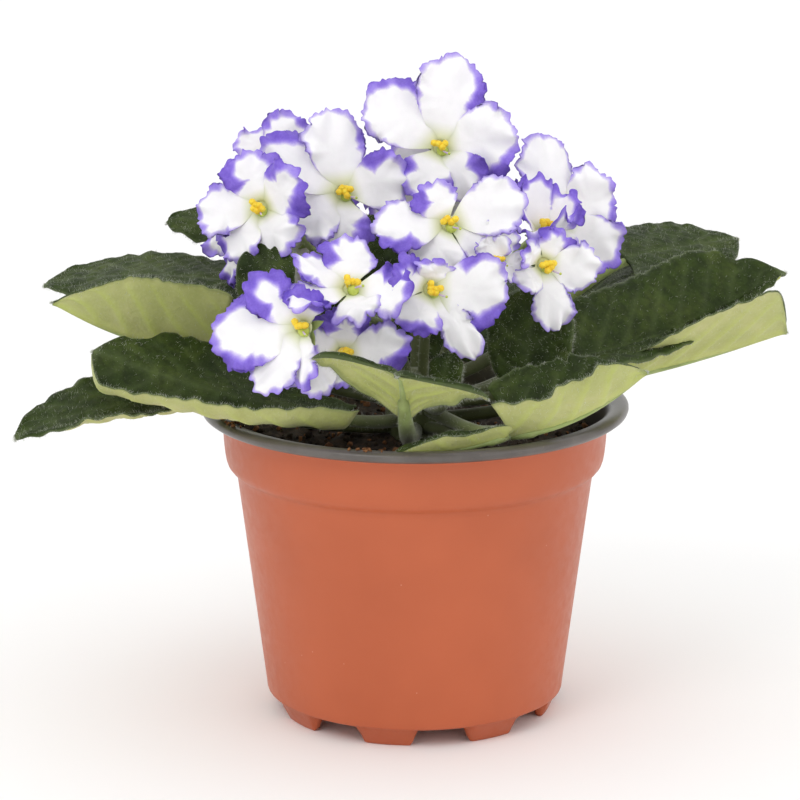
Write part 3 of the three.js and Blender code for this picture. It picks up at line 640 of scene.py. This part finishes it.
def make_pot():
    angle = np.linspace(0, 2 * np.pi, POT_SIDES, endpoint=False)
    notch = foot_height(angle)
    from_radius, depth = POT_WOBBLE
    wobble = waves(rng_for("pot"), (180, 120, 90), depth)(np.degrees(angle))
    terracotta = UNDERSIDE + SOLE + WALL
    rings = terracotta + LINER
    points = []
    for radius, height in rings:
        r = radius + wobble * (radius > from_radius)
        z = height + notch * ((radius, height) in SOLE)
        points.append(np.stack([r * np.cos(angle), r * np.sin(angle), z], -1))
    faces = ring_faces(len(rings), POT_SIDES) + end_faces(len(rings), POT_SIDES)
    faces = [f[::-1] for f in faces]
    which = [0] * POT_SIDES * (len(terracotta) - 1) + [1] * POT_SIDES * len(LINER) + [0, 1]
    obj = add_piece("pot_shell", np.concatenate(points), faces, [POT, LIP], which)
    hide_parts("pot")


# ---- soil

SOIL_LEVEL = 79.2
SOIL_SIDES = 150
SOIL_REACH = 51.4  # radius of the surface
SUNK_EDGE = (50.5, 1.2)  # outside this radius the surface is lower by so much
CRUMBS = 620
RIM_CRUMBS = ((-153, 14, 4), (-103, 11, 4.5))  # direction, count, spread in degrees


def soil_height(x, y):
    return (
        SOIL_LEVEL
        + 0.9 * np.sin(0.31 * x + 1) * np.cos(0.27 * y - 0.4 * x)
        + 0.5 * np.sin(0.9 * x + 0.5 * y) * np.sin(0.8 * y + 2)
    )


def make_soil():
    rng = rng_for("soil")
    angle = np.linspace(0, 2 * np.pi, SOIL_SIDES, endpoint=False)
    points = []
    for r in np.linspace(0.1, SOIL_REACH, 46):
        x, y = r * np.cos(angle), r * np.sin(angle)
        sunk = SUNK_EDGE[1] if r > SUNK_EDGE[0] else 0
        z = soil_height(x, y) + rng.uniform(-0.35, 0.35, SOIL_SIDES) - sunk
        points.append(np.stack([x, y, z], -1))
    # Down the pot's wall to its floor
    for r, z in ((51.6, 77), (50.4, 73), (49.0, 71), (48.3, 69), (40.9, 8.5)):
        points.append(np.stack([r * np.cos(angle), r * np.sin(angle), z + 0 * angle], -1))
    faces = ring_faces(len(points), SOIL_SIDES) + end_faces(len(points), SOIL_SIDES)
    build = Build()
    build.add(np.concatenate(points), [f[:1] + f[:0:-1] for f in faces])
    for _ in range(CRUMBS):
        r, a = 51 * math.sqrt(rng.uniform(0.02, 1)), rng.uniform(0, 2 * math.pi)
        x, y = r * math.cos(a), r * math.sin(a)
        size = rng.uniform(0.4, 1.5)
        build.add(*crumb(rng, (x, y, soil_height(x, y) + 0.3 * size), size),
                  which=int(rng.uniform() < 0.25))
    obj = build.piece("soil_surface", [PEAT, CRUMB])
    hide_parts("soil")


def crumb(rng, centre, size):
    """A small lump, turned any way round."""
    axes = size * rng.uniform(0.5, 1.0, (3, 1)) * np.eye(3)
    turn = rng.uniform(0, math.pi)
    c, s = math.cos(turn), math.sin(turn)
    axes = axes @ np.array([[c, s, 0], [-s, c, 0], [0, 0, 1]])
    return ball(np.array(centre), axes, 4, 6, lambda d: rng.uniform(-0.25, 0.25))


def make_rim_crumbs():
    """The few crumbs of peat that lie on the pot's lip."""
    rng = rng_for("rim")
    build = Build()
    for middle, count, spread in RIM_CRUMBS:
        for _ in range(count):
            a = math.radians(middle + rng.normal(0, spread / 2))
            r = rng.uniform(56.2, 58.6)
            size = rng.uniform(0.25, 0.75)
            centre = (r * math.cos(a), r * math.sin(a), LIP_TOP + 0.35 * size)
            build.add(*crumb(rng, centre, size))
    obj = build.piece("rim_crumbs", [CRUMB])


# ---- leaves

MARGIN_STRETCH = 1.25  # a margin is this much longer than the midrib
CRENATION = 0.018  # depth of the margin's teeth, as a share of the half width
TOOTH = 4.2
VEIN_PITCH = 9
FULL_HALF = 14  # half width from which a blade has its full waves
SMALL_HALF = 12  # half width under which a blade needs fewer points
PETIOLE_POINTS = 28
RIB_POINTS = 18
HAIR_LENGTHS = (0.7, 1.5)
HAIR_WIDTH = 0.035
FRINGE_LENGTHS = (0.6, 1.5)
FRINGE_WIDTH = 0.03

hairs = Build()


def leaf_outline(u, widest, fullness):
    """Half width of a blade along its midrib, as a share of the widest."""
    x = np.clip(widest - u, 0, 1) / (widest + 0.02)
    low = (1 - x ** (1 + fullness)) ** (1 - fullness / 2)
    t = np.clip((u - widest) / (1 - widest), 0, 1)
    high = np.clip(np.cos(np.pi / 2 * t**1.35), 0, 1) ** 0.85
    return np.maximum(np.where(u < widest, low, high), 0.04)


def leaf_midrib(leaf):
    """The midrib's three control points, then the directions across and up from it."""
    base, tip = np.array(leaf[1], float), np.array(leaf[2], float)
    side = unit(np.cross(UP, tip - base))
    lift = unit(np.cross(tip - base, side))
    return base, (base + tip) / 2 + 2 * leaf[3] * lift, tip, side, lift


def leaf_surface(name, leaf, u, v):
    """Points of the blade's middle surface, its vein mask and its margin mask."""
    left, right, wave = leaf[4:]
    half_width = np.where(v > 0, left[0], right[0])
    rng = rng_for("leaf" + name)
    base, control, tip, side, _ = leaf_midrib(leaf)
    length = np.linalg.norm(tip - base)
    t = u[..., None]
    spine = (1 - t) ** 2 * base + 2 * t * (1 - t) * control + t * t * tip
    tangent = unit(2 * (1 - t) * (control - base) + 2 * t * (tip - control))
    across = unit(side - tangent * (tangent @ side)[..., None])
    lift = np.cross(tangent, across)
    reach = np.abs(v)
    along = u * length * MARGIN_STRETCH
    teeth = np.abs(np.sin(np.pi * along / TOOTH + v + 0.8 * np.sin(along / 7))) - 0.6
    outline = np.where(v > 0, leaf_outline(u, *left[3:]), leaf_outline(u, *right[3:]))
    width = half_width * outline * (1 + CRENATION * teeth * smooth(0.5, 1, reach))
    for place, which_side, depth, spread in NOTCHES.get(name, ()):
        width = width - depth * np.exp(-(((u - place) / spread) ** 2)) * (np.sign(v) == which_side)
    out_l, up_l = bend(width, left[1:3], reach)
    out_r, up_r = bend(width, right[1:3], reach)
    out, up = np.where(v > 0, out_l, out_r), np.where(v > 0, up_l, up_r)
    ripple = wave * v * v * np.sin(4 * np.pi * u + np.where(v > 0, 0, 2))
    small = waves(rng, (9, 6, 13), 0.45)
    size = min(1.0, max(left[0], right[0]) / FULL_HALF)
    frill = reach**3 * small(along + 40 * (v > 0)) * size * min(1, 0.25 + 1.5 * wave)
    # Side veins leave the midrib forwards and curve to the margin; the blade puffs up
    # between them
    pitch = VEIN_PITCH / length
    q = (u - 0.84 * half_width / length * reach**1.2 + 0.03) / pitch
    from_vein = np.abs(q - np.round(q)) * pitch * length
    width_mm = half_width * outline * reach
    vein = np.exp(-((from_vein / (1.5 - 0.7 * reach)) ** 2)) * smooth(1.02, 0.6, reach)
    vein = np.maximum(0.8 * vein, np.exp(-((width_mm / 1.1) ** 2)))
    flat = smooth(0, 0.15, u) * smooth(1, 0.93, u) * smooth(1, 0.86, reach)
    rise = u * length
    quilt = (
        np.sin(1.05 * width_mm + 2.2 * q) * np.sin(1.1 * rise + 0.7 * width_mm)
        + 0.6 * np.sin(2.1 * width_mm - 3 * q + 1) * np.sin(2.3 * rise + 0.9 * width_mm)
    )
    puff = (0.75 + 0.2 * quilt) * (1 - vein) * flat
    to_margin = np.minimum((1 - reach) * half_width, (1 - u) * length)
    turned = -TURNED_BACK.get(name, 0.5) * np.exp(-to_margin / 1.1) * smooth(0.05, 0.25, u)
    lobe = -4 * v * v * np.clip(1 - u / 0.3, 0, 1) ** 2  # the base reaches back round the stalk
    out, up = np.sign(v) * out, up + ripple + frill + turned + puff * size
    twist = np.radians(TWISTED.get(name, 0)) * (u - 0.5)
    out, up = out * np.cos(twist) - up * np.sin(twist), out * np.sin(twist) + up * np.cos(twist)
    grid = spine + tangent * lobe[..., None] + across * out[..., None] + lift * up[..., None]
    edge = np.maximum(smooth(0.93, 1.0, reach), smooth(0.965, 1.0, u))
    return grid, vein, edge


def make_leaf(name, leaf):
    """A blade, its petiole, and the rib that carries the petiole on under the blade."""
    small = max(leaf[4][0], leaf[5][0]) < SMALL_HALF
    rows = int((34 if small else 66) * FINE)
    columns = 2 * int((12 if small else 22) * FINE)
    rng = rng_for("hair" + name)
    u, v = np.meshgrid(np.linspace(0, 1, rows + 1), crowded(columns, 0.35), indexing="ij")
    grid, vein, edge = leaf_surface(name, leaf, u, v)
    thickness = 0.85 - 0.35 * np.abs(v) + 0.5 * vein * (1 - np.abs(v))
    points, faces, which, normals = sheet(grid, thickness)
    build = Build("vein", "edge")
    build.add(points, faces, which, vein=twice(vein), edge=twice(edge))

    base, control, tip, _, lift = leaf_midrib(leaf)
    start = np.array([0, 0, float(leaf[0])])
    outward = unit(np.array([base[0], base[1], 0.0]))
    end = bezier((base, control, tip), [0.15])[0] - 0.6 * lift
    reach = np.linalg.norm(end - start)
    t = np.linspace(0, 1, PETIOLE_POINTS)
    petiole = bezier((start + 3 * outward, start + 0.4 * reach * outward,
                      end - 0.3 * reach * unit(control - base), end), t)
    rib = bezier((base, control, tip), np.linspace(0.18, 0.9, RIB_POINTS)) - 0.4 * lift
    radii = PETIOLE.get(name, 1.9) * (1 - 0.4 * t**3)
    rib_radii = np.linspace(0.9, 0.2, RIB_POINTS)
    build.add(*tube(np.concatenate([petiole, rib]), np.concatenate([radii, rib_radii]), 12), 2)

    obj = build.piece("leaf_" + name + "_blade", [LEAF_TOP, LEAF_UNDER, STEM])
    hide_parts("leaf_" + name)
    grow_leaf_hairs(rng, grid, normals, small)
    grow_tube_hairs(rng, petiole, radii, 110)


def grow_leaf_hairs(rng, grid, normals, small):
    """Hairs all over a blade, most of them on top, and a fringe round its margin."""
    rows, columns = grid.shape[:2]
    count = 260 if small else 900
    i = rng.integers(1, rows - 1, count)
    j = rng.integers(1, columns - 1, count)
    side = np.where(rng.uniform(size=count) < 0.72, 1.0, -1.0)
    shift = rng.uniform(-0.5, 0.5, (count, 2))
    roots = (
        grid[i, j]
        + shift[:, :1] * (grid[i + 1, j] - grid[i, j])
        + shift[:, 1:] * (grid[i, j + 1] - grid[i, j])
        + normals[i, j] * (0.3 * side)[:, None]
    )
    directions = unit(normals[i, j] * side[:, None] + rng.normal(0, 0.45, (count, 3)))
    hairs.add(*spikes(roots, directions, rng.uniform(*HAIR_LENGTHS, count), HAIR_WIDTH))
    for line, inner in (
        (grid[:, 0], grid[:, 2]), (grid[:, -1], grid[:, -3]), (grid[-1], grid[-3]),
    ):
        steps = len(line) * 4
        at = np.sort(rng.uniform(0, len(line) - 1.001, steps))
        k = at.astype(int)
        part = (at - k)[:, None]
        roots = line[k] * (1 - part) + line[k + 1] * part
        outward = unit(line[k] - inner[k])
        directions = unit(outward + rng.normal(0, 0.4, (steps, 3)))
        lengths = rng.uniform(*FRINGE_LENGTHS, steps)
        hairs.add(*spikes(roots, directions, lengths, FRINGE_WIDTH))


def grow_tube_hairs(rng, line, radii, count):
    k = rng.integers(1, len(line) - 1, count)
    tangents = unit(np.gradient(line, axis=0))[k]
    d = rng.normal(size=(count, 3))
    d = unit(d - tangents * np.sum(d * tangents, 1)[:, None])
    shift = rng.uniform(-0.5, 0.5, (count, 1)) * (line[k + 1] - line[k])
    roots = line[k] + shift + d * (radii[k] * 0.95)[:, None]
    directions = unit(d + 0.3 * rng.normal(size=(count, 3)))
    hairs.add(*spikes(roots, directions, rng.uniform(*HAIR_LENGTHS, count), HAIR_WIDTH))


# ---- blooms

THROAT = 2.6
THROAT_RING = (1.9, -0.35)  # radius and height of the ring that the petals grow from
TUBE_DEPTH = 2.6
TUBE_SIDES = 28
TWIST = math.radians(15)
RUFFLE = 1.3
FRILLED = {"ruffled": 1.7}  # blooms more ruffled than the rest


def bloom_frame(bloom):
    """The throat's centre, then the directions to the front, the right and up."""
    centre, facing = np.array(bloom[0], float), unit(np.array(bloom[1], float))
    right = unit(np.cross(UP, facing))
    return centre, facing, right, np.cross(facing, right)


def petal_outline(s):
    """Half width along a petal, as a share of its widest."""
    swell = 0.2 + 0.8 * np.sin(np.pi / 2 * np.clip(s / 0.62, 0, 1) ** 0.8)
    return swell * (1 - 0.35 * np.clip((s - 0.62) / 0.38, 0, 1) ** 2)


def throat_ring(bloom, index, v):
    """The stretch that a petal has of the ring round the throat."""
    centre, front, right, up = bloom_frame(bloom)
    petals = bloom[2]
    here, before = petals[index][0], petals[index - 1][0]
    after = petals[(index + 1) % len(petals)][0]
    start = here - ((here - before) % 360) / 2
    stop = here + ((after - here) % 360) / 2
    angle = np.radians(start + (stop - start) * (v + 1) / 2)[:, None]
    radius, height = THROAT_RING
    return centre + radius * (np.cos(angle) * right + np.sin(angle) * up) + height * front


def violet_margin(line, violet, spreads, psi, d, s):
    """How violet a petal is: along its margin, wider and deeper where it spreads."""
    width = violet + 0.35 * min(violet, 1.6) * line
    for direction, extra in spreads:
        off = (np.degrees(psi) - direction + 180) % 360 - 180
        width = width + 0.85 * extra * np.exp(-((off / 42) ** 2))
    width = np.maximum(width * smooth(0.1, 0.5, s), 0.05)
    fade = 0.6 + 0.34 * width
    depth = 0.42 + 0.5 * smooth(1.0, 4.0, width)
    blue = depth * (1 - smooth(-fade, 0.7 * fade, d - width)) + 0.25 * np.exp(-d / 0.3)
    return np.clip(blue, 0, 1) * smooth(0.06, 0.34, s)


def petal(name, bloom, index, rows, columns):
    """Grid of one ruffled petal, with how violet and how green each point is."""
    centre, front, right, up = bloom_frame(bloom)
    angle, length, half, base, edge, violet, *spreads = bloom[2][index]
    rng = rng_for(name + str(index))
    outward = math.cos(math.radians(angle)) * right + math.sin(math.radians(angle)) * up
    across = np.cross(front, outward)
    u1 = 1 - (1 - np.linspace(0, 1, rows + 1)) ** 1.35
    v1 = crowded(columns, 0.45)
    u, v = np.meshgrid(u1, v1, indexing="ij")
    cap = 1 - 0.3 * (1 - np.sqrt(np.clip(1 - v * v, 0, 1))) - 0.06 * np.abs(v) ** 2.4
    s = u * cap
    side = half * petal_outline(s) * v

    # Direction from the petal's middle, distance from the margin that way, place along it
    ahead = (s - 0.42) * length
    psi, radius = np.arctan2(side, ahead), np.hypot(side, ahead)
    rim = np.s_[:, 0], np.s_[-1, 1:-1], np.s_[::-1, -1]
    rim_psi = np.concatenate([psi[part] for part in rim])
    rim_radius = np.concatenate([radius[part] for part in rim])
    d = np.maximum(np.interp(psi, rim_psi, rim_radius) - radius, 0)
    place = psi * 0.5 * (0.5 * length + half)

    # Waves of the margin: some long, some short, dying away inwards
    more = FRILLED.get(name, 1.0) * (0.8 + 0.25 * np.tanh(3 * v))
    grown = smooth(0.15, 0.6, s)
    broad = waves(rng, (13, 9.5))
    middle = waves(rng, (5.6, 4.3, 7.0))
    fine = waves(rng, (2.1, 1.6, 2.7))
    sway = waves(rng, (17, 12))
    height = (
        0.75 * more * broad(place) * np.exp(-d / (0.4 * half))
        + 0.85 * more * middle(place) * np.exp(-d / 1.9)
        + 0.14 * fine(place) * np.exp(-d / 0.8)
        + 0.7 * sway(place) * np.exp(-((d / 2.2) ** 2))
        - (0.9 + 0.5 * broad(place + 5)) * np.exp(-d / 1.5)
    ) * grown
    slide = 0.5 * middle(place + 1.3) * np.exp(-d / 1.6)
    slide = (slide + 0.12 * fine(place + 0.6) * np.exp(-d / 0.8)) * grown
    fringe = (0.36 * fine(place + 3.1) + 0.45 * middle(place + 2.2)) * np.exp(-d / 0.9) * grown
    pleat = 0.12 * np.sin(3.2 * v + 2 * index) * np.sin(np.pi * np.clip(s, 0, 1))
    margin = np.maximum(s, np.abs(v) * np.minimum(1, 2 * s))
    phase = 0.7 * centre[0] + 0.3 * centre[2] + 2 * index
    ruffle = RUFFLE * margin**3 * np.sin(7 * v + 5 * s + phase)
    twist = side * math.sin(TWIST) * smooth(0.05, 0.5, s)

    out, rise = bend(length - THROAT, (base, edge), s)
    away = fringe * np.exp(-d / 3)
    x = THROAT + out + np.cos(psi) * away - slide * np.sin(psi)
    y = side + np.sin(psi) * away + slide * np.cos(psi)
    z = rise + ruffle + twist + height + pleat
    grid = centre + outward * x[..., None] + front * z[..., None] + across * y[..., None]
    blend = np.clip(1 - np.arange(rows + 1) / (0.16 * rows), 0, 1)[:, None, None] ** 2
    grid = grid * (1 - blend) + throat_ring(bloom, index, v1) * blend

    blue = violet_margin(waves(rng, (13, 7, 4.5))(place), violet, spreads, psi, d, s)
    green = 0.75 * (1 - smooth(0.02, 0.2, s))
    return grid, blue, green


def make_bloom(name, bloom):
    centre, front, right, up = bloom_frame(bloom)
    rows, columns = int(28 * FINE), int(53 * FINE)
    build = Build("blue", "throat")
    for index in range(len(bloom[2])):
        grid, blue, green = petal(name, bloom, index, rows, columns)
        thickness = 0.28 + 0.2 * (1 - smooth(0, 0.4, np.linspace(0, 1, rows + 1)))[:, None]
        points, faces = sheet(grid, thickness)[:2]
        build.add(points, faces, 0, blue=twice(blue), throat=twice(green))
    # The corolla's short tube behind the petals, and the dish of the throat
    angle = np.linspace(0, 2 * np.pi, TUBE_SIDES, endpoint=False)[:, None]
    spoke = np.cos(angle) * right + np.sin(angle) * up
    rings = [
        centre + r * spoke + z * front
        for r, z in ((0.02, -TUBE_DEPTH), (1.0, -2.5), (1.7, -1.5), (2.4, -0.6), (2.6, -0.25),
                     (2.4, -0.1), (1.8, -0.3), (1.1, -0.45), (0.02, -0.5))
    ]
    build.add(np.concatenate(rings), ring_faces(len(rings), TUBE_SIDES), 0, throat=0.8)
    obj = build.piece("bloom_" + name + "_petals", [PETAL])
    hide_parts("bloom_" + name)


def anther_lumps(d):
    return 0.1 * math.sin(5 * d[0] + 4 * d[2]) * math.cos(4 * d[1])


def make_stamens(name, bloom):
    """Fat two-lobed anthers on short filaments, the green ovary and the pale style."""
    centre, front, right, up = bloom_frame(bloom)
    rng = rng_for("anther" + name)
    size = 0.72 if name == "tucked" else 1.0
    build = Build()

    def local(x, y, z):
        return centre + size * (x * right + y * up + z * front)

    turn = rng.uniform(-0.5, 0.5)
    pairs = [(-1.0, 0.5), (1.15, 0.35), (0.1, -0.95)][: 3 if rng.uniform() < 0.6 else 2]
    for x, y in pairs:
        x, y = x * math.cos(turn) - y * math.sin(turn), x * math.sin(turn) + y * math.cos(turn)
        lean = rng.uniform(0, math.pi)
        for sign in (-1, 1):
            dx, dy = 0.62 * sign * math.cos(lean), 0.62 * sign * math.sin(lean)
            place = local(x + dx, y + dy, 2.7 + rng.uniform(-0.3, 0.5))
            axes = size * np.array([
                1.05 * (math.cos(lean) * right + math.sin(lean) * up),
                0.95 * (math.cos(lean) * up - math.sin(lean) * right),
                1.0 * front,
            ])
            build.add(*ball(place, axes, 9, 12, anther_lumps), 0)
        filament = bezier((local(0.5 * x, 0.5 * y, -0.2), local(1.3 * x, 1.3 * y, 1.0),
                           local(x, y, 2.6)), np.linspace(0, 1, 7))
        build.add(*tube(filament, np.full(7, 0.34 * size), 7), 0)
    build.add(*ball(local(0.7, -1.0, 0.7), size * 1.6 * np.array([right, up, front]), 8, 12), 1)
    style = bezier((local(0.7, -1.0, 1.4), local(1.6, -1.9, 3.2), local(2.9, -2.4, 4.2)),
                   np.linspace(0, 1, 9))
    build.add(*tube(style, np.full(9, 0.24 * size), 7), 2)
    build.add(*ball(style[-1], size * 0.4 * np.array([right, up, front]), 6, 8), 1)
    obj = build.piece("stamens_" + name + "_anthers", [ANTHER, OVARY, STYLE])
    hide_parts("stamens_" + name)


# ---- stems and crown

CROWN_TOP = 98
CROWN_FOOT = 70.5
CROWN_RADIUS = 8.4
SEPALS = 5
BRACTS = 2


def strap(controls, cross, widths, places, thickness):
    """A slim pointed leaflet along a curve: a sepal or a bract."""
    spine = bezier(controls, np.linspace(0, 1, len(widths)))
    grid = np.stack([spine + w * widths[:, None] * cross for w in places], 1)
    return sheet(grid, thickness)[:2]


def make_stem(name, stem):
    """A stalk from the crown to its fork, then a pedicel to each bloom, with its sepals."""
    foot, fork, carried = stem
    rng = rng_for("stem" + name)
    start = np.array([*foot, CROWN_TOP - 8.0])
    top = np.array(fork, float)
    middle = start + (top - start) * np.array([0.25, 0.25, 0.6])
    build = Build()
    line = bezier((start, middle, top), np.linspace(0, 1, 20))
    radii = np.linspace(1.6, 1.35, 20)
    build.add(*tube(line, radii, 12))
    grow_tube_hairs(rng, line, radii, 160)
    build.add(*ball(top, 1.9 * np.eye(3), 8, 12))
    for bloom_name in carried:
        centre, front, right, up = bloom_frame(BLOOMS[bloom_name])
        seat = centre - (TUBE_DEPTH + 0.2) * front
        bent = seat - 0.35 * np.linalg.norm(seat - top) * front
        line = bezier((top, bent, seat), np.linspace(0, 1, 22))
        radii = np.full(22, 0.95)
        radii[-3:] = (1.1, 1.5, 1.7)
        build.add(*tube(line, radii, 10))
        grow_tube_hairs(rng, line, radii, 120)
        # Narrow sepals hug the back of the corolla
        widths = 1.15 * np.sin(np.pi * np.linspace(0.12, 1, 9) ** 0.8) + 0.05
        for k in range(SEPALS):
            a = 2 * math.pi * (k + 0.3) / SEPALS
            out = math.cos(a) * right + math.sin(a) * up
            controls = [seat + x * out + z * front
                        for x, z in ((0.6, -0.5), (3.2, 0.8), (5.8, 2.1))]
            build.add(*strap(controls, np.cross(front, out), widths, (-1, -0.5, 0, 0.5, 1), 0.35))
    # Small bracts where the stalks part
    widths = 1.1 * np.sin(np.pi * np.linspace(0.15, 1, 8)) + 0.05
    for k in range(BRACTS):
        a = rng.uniform(0, 2 * math.pi) + math.pi * k
        out = np.array([math.cos(a), math.sin(a), 0.0])
        controls = [top + x * out + z * UP for x, z in ((1, 0), (4, 1.5), (6, 5))]
        build.add(*strap(controls, np.cross(UP, out), widths, (-1, 0, 1), 0.4))
    obj = build.piece("stem_" + name + "_stalks", [STEM])
    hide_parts("stem_" + name)


def make_crown():
    build = Build()
    t = np.linspace(0, 1, 16)
    line = (CROWN_FOOT + (CROWN_TOP - CROWN_FOOT) * t)[:, None] * UP
    radii = CROWN_RADIUS * np.clip(0.75 + 0.5 * t - 1.15 * smooth(0.6, 1.15, t), 0.1, 1)
    build.add(*tube(line, radii, 20))
    obj = build.piece("crown_stump", [STEM])
    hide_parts("crown")


# ---- assembly

make_pot()
make_soil()
make_rim_crumbs()
make_crown()
for key, value in LEAVES.items():
    make_leaf(key, value)
for key, value in STEMS.items():
    make_stem(key, value)
for key, value in BLOOMS.items():
    make_bloom(key, value)
    make_stamens(key, value)
hair_piece = hairs.piece("hairs", [HAIR])

# ---- floor and light

WORLD_STRENGTH = 1.05
FLOOR = plain_material(
    "floor", ((0.3, (0.955,) * 3), (0.7, (0.97,) * 3)), 900, 0.9, 0.02, 6)
floor_mesh = bpy.data.meshes.new("floor")
floor_mesh.from_pydata([(-6, -6, 0), (6, -6, 0), (6, 9, 0), (-6, 9, 0)], [], [(0, 1, 2, 3)])
floor_mesh.materials.append(FLOOR)
floor = bpy.data.objects.new("floor", floor_mesh)
bpy.context.collection.objects.link(floor)

world = bpy.data.worlds.new("studio")
bpy.context.scene.world = world
world.use_nodes = True
background = world.node_tree.nodes["Background"]
background.inputs["Color"].default_value = (1, 1, 1, 1)
background.inputs["Strength"].default_value = WORLD_STRENGTH


def area_light(name, place, target, size, power):
    """A round soft lamp that shines from its place at the target."""
    data = bpy.data.lights.new(name, "AREA")
    data.shape = "DISK"
    data.size = size
    data.energy = power
    light = bpy.data.objects.new(name, data)
    light.location = place
    aim = unit(np.array(place, float) - np.array(target, float))
    yaw = math.atan2(aim[1], aim[0])
    light.rotation_euler = (math.acos(aim[2]), 0, yaw + math.pi / 2)
    bpy.context.collection.objects.link(light)


area_light("key", (-0.7, -1.1, 1.3), (0, 0, 0.12), 0.7, 4)
area_light("fill", (1.2, -0.8, 0.8), (0, 0, 0.1), 0.9, 1.2)
bpy.context.scene.view_settings.view_transform = "Standard"
